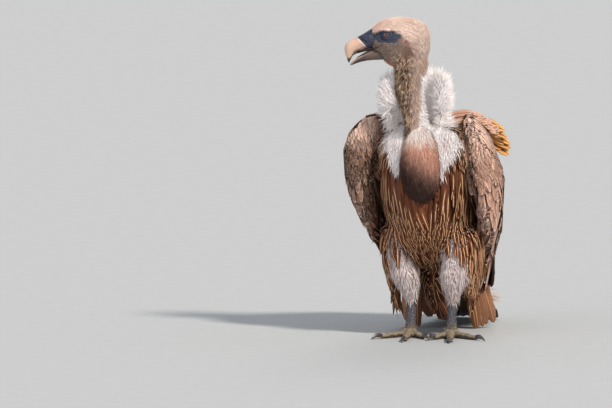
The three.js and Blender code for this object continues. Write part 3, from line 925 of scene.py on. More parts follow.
# %% Feather paint
def feather_paint(name, shaft=None, shaft_width=0.1, shaft_from=0.0, margin=None, margin_width=0.25,
                  margin_share=0.85, core=None, root=None, varies=0.25, grain=600.0, rough=0.75,
                  strands=0.0, sheen=0.0):
    """A feather's own colour with a margin, core, root and shaft of other colours, if given."""
    finish = {"Roughness": rough, "Specular IOR Level": 0.25, "Sheen Weight": sheen, "Sheen Roughness": 0.5}
    paint = Paint(name, finish)
    along, side, lot = paint.read("along"), paint.read("across"), paint.read("lot")
    across = abs(side)
    colour = paint.read("dye", "Color")
    fleck = paint.noise(grain, 2.0)
    tone = 1 - varies * 0.5 + lot * varies * 0.6 + fleck * varies * 0.5
    if strands:
        lines = {0: side * 9.0, 1: along * 2.4 - across * 1.6, 2: lot * 61.0}
        barb = paint.noise(1.0, 3.0, paint.node("ShaderNodeCombineXYZ", {}, lines))
        tone = tone + barb * strands - strands * 0.5
        paint.feed(Normal=paint.bump(barb, 0.5, 0.0007))
    if core is not None:
        inside = (1 - paint.band(across, 0.2, 0.75)) * (1 - paint.band(along, 0.7, 0.97))
        colour = paint.blend(inside * 0.85, colour, core)
    if root is not None:
        colour = paint.blend(1 - paint.band(along, 0.0, 0.45), colour, root)
    if margin is not None:
        near_tip = paint.band(along, 1 - margin_width * 0.4, 1.0)
        edge = paint.band(across + near_tip + (fleck - 0.5) * 0.3, 1 - margin_width, 1.06)
        colour = paint.blend(edge * margin_share, colour, margin)
    if shaft is not None:
        line = 1 - paint.band(across, shaft_width * 0.6, shaft_width * 1.5)
        colour = paint.blend(line * paint.band(along, shaft_from, shaft_from + 0.2), colour, shaft)
    paint.feed(Base_Color=paint.toned(colour, tone))
    return paint


print("feather paint ready")

# %% [markdown]
# ## Markings
# A vulture's face is nearly bare: slate blue round the eye, grey-brown on the cheek, with
# pinkish cream down over the crown and nape. The breast is rusty, the crop patch runs from
# tan to dark umber, partly its own colour and partly painted shade, and the legs are grey with
# tan toes. One function in the end gathers all of it, so the skin and whatever grows on it agree.

# %% Places on the head
CAP_LINE = ([-60, -45, -35, -25, -10, 5, 30, 50, 62], [-90, -75, -45, -18, 6, 17, 21, 18, 14])


def over_cap_line(a, u):
    """How far a place is above the line between the bare cheek and the downy crown."""
    return u - np.interp(a, *CAP_LINE)


def eye_patch(own):
    """1 in the bare slate patch round the eye, fading outside it."""
    a, u, _ = own.T
    far = np.hypot((a - 27) / 31, (u - 7) / 14.5) + 0.12 * mottle(plan(from_head(a, u, 0 * a)), 7, 2)
    return 1 - ramp(far, 0.82, 1.1)


def abeam(spot):
    """How far to the bird's left a place is, square to the way that the breast faces."""
    return spot[:, 0] * 0.974 + spot[:, 1] * 0.225


print("skin faces in the eye patches", int((eye_patch(head_plan(CENTRES)) > 0.5).sum()))

# %% Colours of neck and head
def neck_white(spot):
    """1 low on the back and left of the neck, where the ruff's down climbs it."""
    low = ramp(-spot[:, 2] + 6 * mottle(spot, 9, 34), -584, -566)
    return ramp(abeam(spot) + 4 * mottle(spot, 8, 33), -27, -18) * low


def neck_colour(spot):
    brown, deep, pale = dye(98, 66, 48), dye(60, 37, 28), dye(238, 204, 168)
    speck = mottle(spot, 2.4, 5) + 0.45 * mottle(spot, 6, 6)
    dark = mixed(brown, deep, 0.5 + 0.5 * mottle(spot, 14, 7))
    colour = mixed(dark, pale, ramp(speck - 0.25, -0.25, 0.5))
    rear = ramp(-head_plan(spot)[:, 0] + 4 * speck, 12, 36)
    colour = mixed(colour, mixed(CREAM, PINK, 0.35 + 0.3 * speck), rear * 0.5)
    return mixed(colour, WHITE, neck_white(spot))


def cheek_colour(spot, a, u, speck):
    colour = mixed(CHEEK_BROWN, dye(160, 128, 106), ramp(-u - 20 + 8 * speck, -6, 26) * 0.5)
    colour = mixed(colour, neck_colour(spot), ramp(-u, 22, 40) * ramp(-a, -22, -6) * 0.9)
    round_ear = np.exp(-(((a + 12) / 7) ** 2) - ((u + 3) / 10) ** 2)
    return mixed(colour, PINK, round_ear * 0.8)


def crown_colour(spot, a, u):
    # Pinker towards the forehead: painted shade on the forehead, which is turned from the main lamp.
    colour = mixed(CREAM, PINK, 0.16 + 0.14 * mottle(spot, 22, 4) + 0.35 * ramp(a, 8, 48))
    nape = ramp(mottle(spot, 4, 9) - 0.012 * (u + 10), 0.35, 0.9) * ramp(-a, 14, 30)
    return mixed(colour, dye(150, 112, 96), nape * 0.7)


def head_colour(spot):
    own = head_plan(spot)
    a, u, _ = own.T
    fleck_brown, chin_red = dye(128, 96, 80), dye(196, 104, 62)
    eye_dark, brow_shadow = dye(38, 38, 46), dye(26, 24, 28)
    speck = mottle(spot, 5, 3)
    cap = ramp(over_cap_line(a, u) + 2.5 * speck, -6, 5)
    colour = mixed(cheek_colour(spot, a, u, speck), crown_colour(spot, a, u), cap)
    low_front = 1.3 * ramp(a, -62, -8) * ramp(-u, -14, 12)
    fleck = ramp(mottle(spot, 3.0, 66) + 0.5 * mottle(spot, 7, 67) + low_front - 0.6, 0.0, 0.7)
    colour = mixed(colour, fleck_brown, fleck * ramp(-u, -16, -2) * ramp(-a, 0, 10) * 0.85)
    patch = mixed(SLATE * 1.05, eye_dark, 0.35 + 0.4 * mottle(spot, 5, 68))
    colour = mixed(colour, patch, eye_patch(own))
    # A dark line along the brow ridge over the eye: painted shadow of the brow.
    brow = bell(u - np.interp(a, [8, 30, 62], [18.5, 16.5, 9.5]), 1.7) * ramp(a, 4, 14) * ramp(-a, -66, -58)
    colour = mixed(colour, brow_shadow, brow * 0.85)
    chin = np.exp(-(((u - np.interp(a, [5, 30, 60], [-58, -50, -34])) / 4.5) ** 2)) * ramp(a, 4, 16)
    colour = mixed(colour, chin_red, chin * 0.8)
    # A dark line along the mouth fold: painted shade in the crease at the corner of the mouth.
    return mixed(colour, LINE_DARK, mouth_fold(a, u) * 0.9)


print("skin faces on the neck's white", int((neck_white(CENTRES) > 0.5).sum()))

# %% Breast, ruff and crop markings
SHOULDER_JOINTS = ([-46, -140, 426], [56, -130, 430])


def is_chest(spot):
    """1 on the white of the upper breast beside the crop patch."""
    x, y, z = spot.T
    edge = np.abs(x - 3) - 46 - 0.5 * (z - 347) + 6 * mottle(spot, 22, 8)
    return ramp(-edge, 0, 8) * ramp(z + 8 * mottle(spot, 18, 9), 352, 376) * ramp(-y, 60, 80)


def down_white(spot):
    """The white of the ruff and chest, with two small bare patches at the shoulders' joints."""
    bare = sum(bell(np.linalg.norm((spot - joint) * [1, 0.3, 1], axis=1), 8) for joint in SHOULDER_JOINTS)
    return mixed(mixed(WHITE, SHADE_WHITE, 0.25 + 0.25 * mottle(spot, 16, 23)), BARE_RED, bare * 0.8)


def body_colour(spot, facing, chest=True):
    x, y, z = spot.T
    light_rust, back_brown, wing_gap_shade = dye(140, 92, 70), dye(118, 84, 64), dye(50, 34, 26)
    between_legs = bell(x - 4, 26) * ramp(-z, -300, -180)
    rust = mixed(RUST, DARK_RUST, 0.3 + 0.4 * mottle(spot, 34, 10) + 0.3 * between_legs)
    rust = mixed(rust, DARK_RUST, ramp(-z, -275, -170) * 0.4)
    rust = mixed(rust, light_rust, ramp(z, 330, 430) * 0.5)
    # Darker on the left of the breast, from its middle up: painted shade.
    rust = mixed(rust, DARK_RUST, ramp(x, 24, 66) * ramp(z, 250, 300) * 0.45)
    rear = mixed(COVERT, back_brown, 0.5 + 0.5 * mottle(spot, 26, 11))
    colour = mixed(rust, rear, ramp(facing[:, 1], 0.1, 0.45))
    # Dark on the body's sides in front, beside the wings: painted shade in the gap between body and wing.
    colour = mixed(colour, wing_gap_shade, ramp(np.abs(x), 88, 104) * ramp(-y, -20, 30) * 0.8)
    return mixed(colour, down_white(spot), is_chest(spot) * chest)


def breast_colour(spot, facing, kind):
    return body_colour(spot, facing, False)


def crop_colour(spot):
    z = spot[:, 2]
    # Dark umber low and to the bird's right, tan high and to its left: partly the patch's own colour, partly
    # painted shade on the side turned from the main lamp.
    slant = (abeam(spot) + 30) * 0.55 + (z - 385) * 0.75
    light = ramp(slant + 6 * mottle(spot, 24, 12) + 5 * mottle(spot, 3.4, 24), -32, 36)
    colour = mixed(mixed(UMBER, dye(82, 52, 42), 0.5 + 0.5 * mottle(spot, 3, 25)), TAN, light)
    return mixed(colour, dye(240, 224, 212), ramp(z + 5 * mottle(spot, 7, 27), 412, 446) * 0.9)


print("skin faces on the white chest", int((is_chest(CENTRES) > 0.5).sum()))

# %% Wing and leg markings
def wing_colour(spot, facing, side):
    """Pale at the wrist, browner down the wing, dark and mottled on its inner face, partly as painted shade.
    """
    z = spot[:, 2]
    pale, low_brown, wing_shade_brown = dye(252, 212, 192), dye(140, 102, 86), dye(66, 45, 38)
    # The inner face, turned towards the body, and on the right wing also the front of its part near the body,
    # is dark and mottled: partly the wing's own mottling, partly painted shade of the gap against the body.
    inner = ramp(-facing[:, 0] * side, -0.05, 0.4)
    if side < 0:
        high = ramp(z, 400, 440)
        front = ramp(abeam(spot) - 40 * high + 5 * mottle(spot, 16, 35), -166, -146)
        inner = np.maximum(inner * (1 - high), front * ramp(-facing[:, 1], 0.0, 0.35))
    base = mixed(COVERT, COVERT_BROWN, 0.5 + 0.5 * mottle(spot, 18, 13))
    base = mixed(base, pale, ramp(z, 380, 460) * 0.75)
    base = mixed(base, low_brown, ramp(-z, -250, -190) * 0.7)
    # The bird's right wing is darker below the wrist, least at its outer edge: partly its own brown, partly
    # painted shade, as this wing is turned from the main lamp.
    if side < 0:
        lower = ramp(-z - 10 * mottle(spot, 20, 74), -452, -418)
        base = mixed(base, wing_shade_brown, lower * (0.9 - 0.5 * ramp(-abeam(spot), 178, 190)))
    fleck = ramp(mottle(spot, 8, 14) + 0.6 * mottle(spot, 3.6, 36), 0.15, 0.9)
    return mixed(base, mixed(dye(54, 38, 32), dye(162, 122, 94), fleck), inner)


def thigh_colour(spot):
    shade = ramp(mottle(spot, 16, 15) + 0.012 * (np.abs(spot[:, 0]) - 60), -0.1, 1.0)
    return mixed(dye(242, 226, 222), dye(208, 178, 174), shade * 0.6)


def flank_colour(spot, side):
    pale = ramp(spot[:, 0] * side - 84 + 8 * mottle(spot, 16, 16), -8, 14)
    # The left flank is painted lighter than the right: painted light and shade, as the main lamp stands on
    # the bird's left.
    light = dye(172, 124, 90) if side > 0 else dye(150, 104, 74)
    return mixed(mixed(RUST, DARK_RUST, 0.3), light, pale * 0.8)


def leg_colour(spot):
    grey = mixed(LEG_GREY, dye(84, 84, 88), 0.5 + 0.5 * mottle(spot, 7, 17))
    toes = mixed(dye(134, 118, 96), LINE_DARK, 0.3 + 0.3 * mottle(spot, 6, 18))
    return mixed(toes, grey, ramp(spot[:, 2], 18, 38))


print("wrist", wing_colour(np.array([[150.0, -60, 470]]), np.array([[1.0, 0, 0]]), 1).round(2))

# %% All markings together
RECIPES = {
    "head": lambda s, f: head_colour(s), "neck": lambda s, f: neck_colour(s),
    "ruff": lambda s, f: down_white(s), "crop": lambda s, f: crop_colour(s), "trunk": body_colour,
    "undertail_coverts": lambda s, f: mixed(RUST, DARK_RUST, 0.45 + 0.4 * mottle(s, 30, 20)),
    "wing_left_coverts": lambda s, f: wing_colour(s, f, 1),
    "wing_right_coverts": lambda s, f: wing_colour(s, f, -1),
    "thigh_left": lambda s, f: thigh_colour(s), "thigh_right": lambda s, f: thigh_colour(s),
    "flank_left": lambda s, f: flank_colour(s, 1), "flank_right": lambda s, f: flank_colour(s, -1),
}


def marking(spot, facing, kind):
    """The bird's colour at places of given parts; whatever has no recipe is leg or toe."""
    out = np.zeros((len(spot), 4))
    for index, name in enumerate(FLESH):
        chosen = kind == index
        if chosen.any():
            recipe = RECIPES.get(name, lambda s, f: leg_colour(s))
            out[chosen] = recipe(spot[chosen], facing[chosen])
    return np.clip(out, 0, 1)


def white(spot, facing, kind):
    return down_white(spot)


def store_dye(obj, colours):
    store(obj.data, "dye", colours, "FLOAT_COLOR", "color")


print("recipes for", len(RECIPES), "solids")

# %% The skin's own paint
skin_kind = kinds(GROUND_AT)
store_dye(skin, marking(plan(GROUND_AT), GROUND_NORMALS, skin_kind))
store(skin.data, "leg", skin_kind >= KIND["tarsus_left"])
skin_paint = Paint("skin_paint", {"Roughness": 0.62, "Specular IOR Level": 0.35})
pores = skin_paint.noise(420.0, 3.0)
folds = skin_paint.noise(90.0, 2.0, skin_paint.here((1, 1, 2.5)))
cells = {"Vector": skin_paint.here(), "Scale": 330.0}
grains = skin_paint.node("ShaderNodeTexVoronoi", {"feature": "DISTANCE_TO_EDGE"}, cells)
crack = (1 - skin_paint.band(grains, 0.0, 0.12)) * skin_paint.read("leg")
shade = 0.82 + pores * 0.22 + folds * 0.14 - crack * 0.45
skin_paint.feed(
    Base_Color=skin_paint.toned(skin_paint.read("dye", "Color"), shade),
    Normal=skin_paint.bump(pores * 0.5 + folds - crack * 1.2, 0.5, 0.0012),
)
skin.data.materials.append(skin_paint.material)
skin.data.polygons.foreach_set("use_smooth", np.ones(len(skin.data.polygons), bool))
print("skin painted")

# %% [markdown]
# ## Down on the head and neck
# The crown wears down so short that it reads as velvet, longer on the nape. The neck's
# down is thicker and mottled. Tiny tufts are laid backwards from the bill and then down
# the neck, small enough that the skull's shape stays sharp.

# %% Head and neck down
HEAD_PLACES = head_plan(CENTRES)
ahead, above, aside = HEAD_PLACES.T
neck_clear = neck_white(CENTRES)
down_paint = feather_paint("short_down", varies=0.62, grain=900.0, rough=0.85, sheen=0.25)
downy = part("head") & (eye_patch(HEAD_PLACES) < 0.35) & (ahead < 60)
downy &= (np.abs(aside) < 6) | (mouth_fold(ahead, above) < 0.2)


def head_lie(spot, facing):
    """Back from the bill over the crown, then down the nape."""
    a, u, _ = head_plan(spot).T
    fall = ramp(-a, -5, 45) * 1.6 + ramp(-u, 5, 40) * 0.7
    return -AHEAD - np.outer(fall, UP)


def head_length(spot):
    a, u, _ = head_plan(spot).T
    return 2.2 + 3.6 * ramp(over_cap_line(a, u), -4, 3) + 4.5 * ramp(-a, 0, 50)


def bristled(spot, facing, kind):
    """The face's bristles are part pale, part as dark as the skin under them."""
    a, u, _ = head_plan(spot).T
    bare = 1 - ramp(over_cap_line(a, u), -4, 3)
    pale = ramp(mottle(spot, 1.6, 37), -0.1, 0.8) * bare * ramp(a, -16, 4)
    return mixed(marking(spot, facing, kind), dye(214, 204, 196), pale * 0.75)


coat("head_down", down_paint, downy, 1.3, head_length, 0.5, head_lie, bristled, seed=21, slot="head_down",
     shape=spike, steps=3, lift=(0.0, 1.5), rise=0.5, swing=0.24)
coat("neck_down", down_paint, part("neck") & (neck_clear < 0.6), 1.65, 6.8, 0.7, downwards, marking, seed=22,
     slot="neck_down", shape=spike, lift=(0.0, 3.2), rise=0.4, swing=0.25, curl=1.5)

# %% [markdown]
# ## The ruff
# A collar of long white down stands up round the back of the neck and spills on the chest.
# Thin soft tufts, each curved a little its own way, stand out from a core of skin.

# %% Ruff and chest down
RUFF_MIDDLE = np.array([-14.0, -84.0, 516.0])
ruff_paint = feather_paint("ruff_down_paint", varies=0.12, grain=300.0, rough=0.9, sheen=0.4)
# A faint white glow is painted light: it brightens the ruff, collar and chest down that wear this paint.
ruff_paint.shader.inputs["Emission Color"].default_value = (1.0, 0.96, 0.95, 1)
ruff_paint.shader.inputs["Emission Strength"].default_value = 0.1
loose = {"shape": spike, "rise": 0.35}


def ruff_lie(spot, facing):
    """Out from the neck, upwards in the ruff's upper half and downwards below."""
    out = unit((spot - RUFF_MIDDLE) * [1, 1, 0])
    return facing * 0.2 + out * 0.9 + np.outer(ramp(spot[:, 2], 455, 520) * 2.4 - 1.2, UP)


def chest_lie(spot, facing):
    x = spot[:, 0]
    return np.stack([-(x - 3) * 0.006, np.zeros(len(x)), -np.ones(len(x))], 1)


coat("ruff_down", ruff_paint, part("ruff"), 1.75, 23.0, 1.0, ruff_lie, white, seed=24, slot="ruff_down",
     lift=(0.0, 15.0), swing=0.45, hold=0.6, curl=6.0, vary=0.45, stray=24.0, **loose)
coat("collar_down", ruff_paint, part("neck") & (neck_clear > 0.4), 1.9, 17.0, 0.95,
     toward(0.35, 0.5, -0.6), white, seed=23, slot="ruff_down", lift=(0.0, 9.0), swing=0.4, hold=0.7,
     curl=5.0, vary=0.4, **loose)
coat("chest_down", ruff_paint, part("trunk") & (is_chest(CENTRES) > 0.35), 2.3, 18.0, 0.95, chest_lie, white,
     seed=25, slot="body_feather", lift=(0.0, 8.5), swing=0.3, hold=0.9, curl=3.0, vary=0.35, **loose)

# %% [markdown]
# ## The crop patch
# Short dense hair-like feathers lie flat over the full crop. They are laid straight down it,
# and loose pale ones hang over its top edge.

# %% Crop
crop_paint = feather_paint("crop_paint", varies=0.4, grain=700.0, rough=0.75, sheen=0.05)
crop_edge = part("crop") & (CENTRES[:, 2] > 444 + 7 * mottle(CENTRES, 9, 38))


def fringe_colour(spot, facing, kind):
    return mixed(down_white(spot), TAN, ramp(mottle(spot, 5, 39), 0, 1) * 0.5)


coat("crop_feathers", crop_paint, part("crop"), 2.0, 10.0, 0.8, downwards, marking, seed=26,
     slot="crop_feather", shape=spike, lift=(0.1, 2.4), rise=0.4, swing=0.2)
coat("crop_fringe", crop_paint, crop_edge, 2.6, 17.0, 0.8, chest_lie, fringe_colour, seed=29,
     slot="crop_feather", steps=5, lift=(0.5, 4.5), swing=0.22, vary=0.4, **loose)

# %% [markdown]
# ## Breast, belly and back
# The breast wears long narrow lance-shaped feathers with a pale line down each shaft. They
# hang from the sides of the crop and close in towards the legs. On the back they are
# broader, with pale rims. Both come from the same tools with other outlines.

# %% Long feathers that are seen whole
LANCE_ENDS = [0, 0.14, 0.3, 0.46, 0.6, 0.72, 0.82, 0.9, 0.96, 1]
SHORT_ENDS = [0, 0.25, 0.5, 0.75, 0.92, 1]
whole = {"ends": LANCE_ENDS, "ribs": BROAD, "patch": 0.004}
lance = vane(0.3, 0.4, 1.35, root=0.35)
lance_paint = feather_paint(
    "lance_paint", shaft=STREAK, shaft_width=0.12, shaft_from=0.35, margin=dye(150, 96, 64), margin_width=0.6,
    margin_share=0.2, varies=0.3, grain=160.0, rough=0.66, strands=0.35)
mantle_paint = feather_paint(
    "mantle_paint", shaft=dye(150, 116, 92), shaft_width=0.07, margin=PALE_EDGE, margin_width=0.22,
    varies=0.35, grain=200.0, rough=0.68, strands=0.4)
print("a lance's half widths", lance(np.array(LANCE_ENDS)).round(2))

# %% Breast and back
x, y, z = CENTRES.T
rear_share = ramp(FACING[:, 1], 0.1, 0.45)
breast = part("trunk") & (is_chest(CENTRES) < 0.35) & (rear_share < 0.6)
middle_breast = (np.abs(x - 6) < 52) & (z > 255) & (z < 330) & (y < -60)
room = np.where(middle_breast, 4.0, 6.4)


def body_lie(spot, facing):
    """Down and a little back, closing in below the crop."""
    x, _, z = spot.T
    pull = np.where(z > 230, -0.0026 * x, -0.0008 * x)
    return np.stack([pull, np.full(len(x), 0.3), -np.ones(len(x))], 1)


def breast_length(spot):
    """Shorter over the thighs, so that they show below."""
    return 88 - 12 * ramp(-spot[:, 2], -305, -250) * ramp(np.abs(spot[:, 0]), 26, 44)


def mantle_lie(spot, facing):
    x = spot[:, 0]
    return np.stack([x * 0.001, np.full(len(x), 0.75), -np.full(len(x), 0.66)], 1)


coat("breast_feathers", lance_paint, breast & (z < 402), room, breast_length, 6.4, body_lie, breast_colour,
     seed=27, slot="body_feather", shape=lance, lift=(1.0, 9.2), rise=0.05, swing=0.09, stretch=2.8,
     uneven=0.06, tile=0.13, fray=0.06, steady=0.72, **whole)
coat("shoulder_feathers", lance_paint, breast & (z >= 390), 4.4, 24.0, 3.8, body_lie, breast_colour,
     seed=30, slot="body_feather", shape=lance, ends=SHORT_ENDS, lift=(1.0, 8.5), rise=0.08, swing=0.2,
     stretch=1.3, uneven=0.1, tile=0.13, fray=0.06)
coat("mantle_feathers", mantle_paint, part("trunk") & (rear_share >= 0.4), 9.0, 56.0, 9.0, mantle_lie,
     marking, seed=28, slot="body_feather", shape=vane(0.3, 0.5, 1.7), lift=(1.0, 9.0), rise=0.06, swing=0.1,
     stretch=1.6, uneven=0.08, tile=0.1, fray=0.05, **whole)

# %% [markdown]
# ## Wing coverts
# The folded wing is tiled with coverts: tiny at its leading edge, long towards the flight
# feathers. Their size, and the room that each takes, grow with the distance back. The
# longest vanes, which show below them, are laid first with the same tool.

# %% Paints of the wing
small_covert_paint = feather_paint(
    "small_covert_paint", shaft=dye(140, 104, 84), shaft_width=0.12, margin=PALE_EDGE, margin_width=0.5,
    margin_share=0.35, varies=0.22, grain=220.0, rough=0.7, strands=0.2)
covert_paint = feather_paint(
    "covert_paint", shaft=dye(128, 94, 74), shaft_width=0.06, margin=PALE_EDGE, margin_width=0.45,
    margin_share=0.8, core=dye(190, 144, 122), root=dye(74, 52, 44), varies=0.3, grain=220.0, rough=0.66,
    strands=0.25)
remige_paint = feather_paint(
    "remige_paint", shaft=dye(70, 52, 44), shaft_width=0.05, margin=dye(226, 188, 168), margin_width=0.35,
    margin_share=0.8, root=dye(60, 44, 38), varies=0.35, grain=140.0, rough=0.55, strands=0.3)
print("shader nodes in a covert's paint", len(covert_paint.tree.nodes))

# %% Long vanes and coverts
WRIST_BACK, WRIST_TOP, WING_RUN = -92, 492, 360
WING_EDGE = 192


def down_the_wing(spot):
    """0 at the wrist's top front, 1 where the flight feathers start."""
    run = (spot[:, 1] - WRIST_BACK) * 0.5 + (WRIST_TOP - spot[:, 2]) * 0.84
    return np.clip(run / WING_RUN, 0, 1)


def covert_lie(spot, facing):
    share = down_the_wing(spot)
    return np.stack([0 * share, 0.3 + 0.45 * share, -1.0 + 0.2 * share], 1)


def vane_length(spot):
    return 100 + 50 * ramp(-spot[:, 2], -300, -200)


def vane_colour(spot, facing, kind):
    return mixed(dye(206, 164, 144), dye(132, 100, 86), ramp(mottle(spot, 34, 64), -0.6, 0.8))


def covert_length(spot):
    return 40 + 56 * ramp(down_the_wing(spot), 0.3, 0.6)


def covert_half(spot):
    return 6.4 + 3.0 * ramp(down_the_wing(spot), 0.3, 0.7)


def small_length(spot):
    return 16 + 28 * down_the_wing(spot)


share = down_the_wing(CENTRES)
z = CENTRES[:, 2]
for number, (side, turn) in enumerate((("left", 1), ("right", -1))):
    wing = part(f"wing_{side}_coverts")
    outer = FACING[:, 0] * turn * 0.6 - FACING[:, 1] * 0.8 > -0.1
    low = wing & outer & (z < 330) & (z > 168) & (CENTRES @ [0, 1, 0.35] < WING_EDGE)
    coat(f"wing_{side}_long_vanes", remige_paint, low, 10.0, vane_length, 11.0,
         toward(-0.3 * turn, 0.5, -0.8), vane_colour, seed=61, slot="flight_feather",
         shape=vane(0.2, 0.72, 2.2), lift=(0.5, 3.5), rise=0.08, swing=0.04, vary=0.12, stray=78.0,
         stretch=3.4, uneven=0.08, tile=0.1 * turn, fray=0.03, steady=0.82, **whole)
    coat(f"wing_{side}_long_coverts", covert_paint, wing & (share > 0.3) & (z > 292), 7.6, covert_length,
         covert_half, covert_lie, marking, seed=31 + number, slot="covert_feather",
         shape=vane(0.3, 0.45, 1.6), lift=(3.2, 7.6), rise=0.03, swing=0.05, vary=0.18, stretch=2.6,
         uneven=0.05, tile=0.09 * turn, fray=0.03, steady=0.6, **whole)
    front = wing & (share < 0.36 + 0.04 * mottle(CENTRES, 30, 62))
    coat(f"wing_{side}_small_coverts", small_covert_paint, front, 3.3, small_length, 3.9, covert_lie, marking,
         seed=33 + number, slot="covert_feather", shape=vane(0.3, 0.5, 1.7), ends=SHORT_ENDS, lift=(4.7, 6.3),
         rise=0.02, swing=0.08, stretch=1.4, uneven=0.04, tile=0.05 * turn, fray=0.04)

# %% [markdown]
# ## Flight feathers, shoulder feathers and tail
# The long quills are few and each is seen whole, so they are set out one by one as fans
# between a line of roots and a line of tips. The narrow vane leads and the broad one trails.

# %% A fan of quills
HALF_QUILL = [(1, 0.0), (0.66, 0.45), (0.3, 0.72), (0.07, 0.8)]
QUILL_RIBS = [*((-out, high) for out, high in HALF_QUILL), (0, 1.15), *HALF_QUILL[::-1]]
LOWEST_QUILL = 1.4


def along_line(points, share):
    """Places on a line through points, which are spaced evenly from 0 to 1."""
    points = np.array(points, float)
    knots = np.linspace(0, 1, len(points))
    return np.stack([np.interp(share, knots, points[:, c]) for c in range(3)], 1)


def fan(name, paint, roots, tips, count, half, up, colour, *, side=1, bow=8.0, layer=1.2, lead=0.6,
        stations=18, tip=0.86, point=2.4, rise=2.2, seed=5, stands_for=(), sway=3.0, extra=0.0):
    """Quills from a line of roots to a line of tips, in mm. roots, tips and up are for the left
    side; side -1 mirrors them. Each lies layer above the next, arches by bow, lifts its tip by
    extra and misses its place by sway. lead is the leading vane's width, 1 where both are equal."""
    dice = np.random.default_rng(seed)
    mirror = np.array([side, 1, 1])
    share = (np.arange(count) + 0.5) / count
    root, end = along_line(roots, share) * mirror, along_line(tips, share) * mirror
    up = unit(np.array(up, float)) * mirror
    end = end + dice.normal(0, sway * 0.4, end.shape) * [0.4, 1, 1]
    s = 1 - (1 - np.linspace(0, 1, stations)) ** 1.35
    arch = bow * 4 * s * (1 - s) + extra * s
    stack = (count - 1 - np.arange(count)) * layer
    climb = arch[None, :] + stack[:, None] * (1 - 0.6 * s[None])
    centre = root[:, None] + (end - root)[:, None] * s[None, :, None] + up * climb[..., None]
    centre[..., 2] = np.maximum(centre[..., 2], LOWEST_QUILL)
    outline = blade(s, base=0.16, tip=tip, point=point, root=0.35)
    wide = outline[None] * np.broadcast_to(half, (count,))[:, None]
    both = np.stack([wide * lead, wide * (2 - lead)], 2)
    both = both * (1 + 0.05 * dice.normal(size=both.shape) * (s > 0.3)[None, :, None])
    if side < 0:
        both = both[..., ::-1]
    columns = math.ceil(math.sqrt(count * 0.4))
    rows = math.ceil(count / columns)
    order = np.arange(count)
    cell = np.stack([(order % columns + 0.5) / columns, (order // columns + 0.5) / rows], 1)
    plumes(name, paint, place(centre), np.broadcast_to(up, centre.shape), both / 1000, rise / 1000,
           QUILL_RIBS, colour(share), cell, (0.86 / columns, 0.92 / rows), s, lot=dice.random(count),
           stands_for=stands_for)


def plain(first, second):
    """A colour for each quill of a fan, from first to second."""
    return lambda share: mixed(first, second, share)


undertail_paint = feather_paint(
    "undertail_paint", shaft=dye(206, 156, 112), shaft_width=0.07, margin=dye(160, 112, 80), margin_width=0.3,
    root=DARK_RUST, varies=0.5, grain=160.0, rough=0.62, strands=0.6)
quill_paint = feather_paint(
    "quill_paint", shaft=dye(96, 74, 60), shaft_width=0.035, margin=dye(116, 90, 74), margin_width=0.1,
    varies=0.3, grain=120.0, rough=0.5, strands=0.3)
print("ribs across a quill", len(QUILL_RIBS))

# %% Quills of wings and tail
for side, turn in (("left", 1), ("right", -1)):
    fan(f"wing_{side}_primary_quills", quill_paint, [[62, 150, 270], [80, 110, 200], [96, 40, 190]],
        [[34, 400, 112], [30, 428, 78], [44, 392, 54], [70, 262, 66]], 8, 15, [0.95, 0.1, 0.3],
        plain(BLACKISH, dye(62, 50, 46)), side=turn, bow=7, layer=1.0, seed=41,
        stands_for=[f"wing_{side}_primaries"])
    fan(f"wing_{side}_secondary_quills", quill_paint, [[50, 70, 446], [86, 70, 330], [104, 44, 214]],
        [[28, 256, 296], [48, 302, 220], [66, 296, 144], [80, 226, 92]], 14, 19, [0.93, 0.15, 0.33],
        plain(dye(128, 98, 82), dye(96, 74, 62)), side=turn, bow=16, layer=1.1,
        seed=42, stands_for=[f"wing_{side}_secondaries"])
    fan(f"tail_{side}_covers", undertail_paint, [[40, 170, 122], [66, 186, 100]],
        [[40, 336, 30], [68, 318, 8]], 4, 17, [0.45, -0.3, 0.85],
        plain(dye(126, 88, 64), dye(140, 98, 70)), side=turn, bow=10, layer=2.0,
        lead=1.0, seed=48, stations=12, tip=0.7, point=2.0)
    fan(f"rump_{side}_plumes", undertail_paint, [[46, 150, 120], [66, 160, 112], [84, 166, 100]],
        [[60, 186, 5], [80, 200, 4], [102, 206, 18]], 6, 11.5, [0.25, -0.95, 0.2],
        plain(dye(104, 66, 44), dye(168, 120, 90)), side=turn, layer=1.6, lead=1.0,
        seed=47, stations=12, tip=0.6, point=1.8, sway=9.0)
fan("tail_quills", quill_paint, [[-26, 150, 150], [0, 140, 160], [26, 150, 150]],
    [[-62, 408, 0], [-36, 428, 0], [0, 434, 0], [36, 428, 0], [62, 408, 0]], 12, 15, [0, 0.45, 0.89],
    plain(BLACKISH, BLACKISH), bow=4, layer=0.0, lead=1.0, extra=2.0, seed=43,
    stands_for=["tail"])

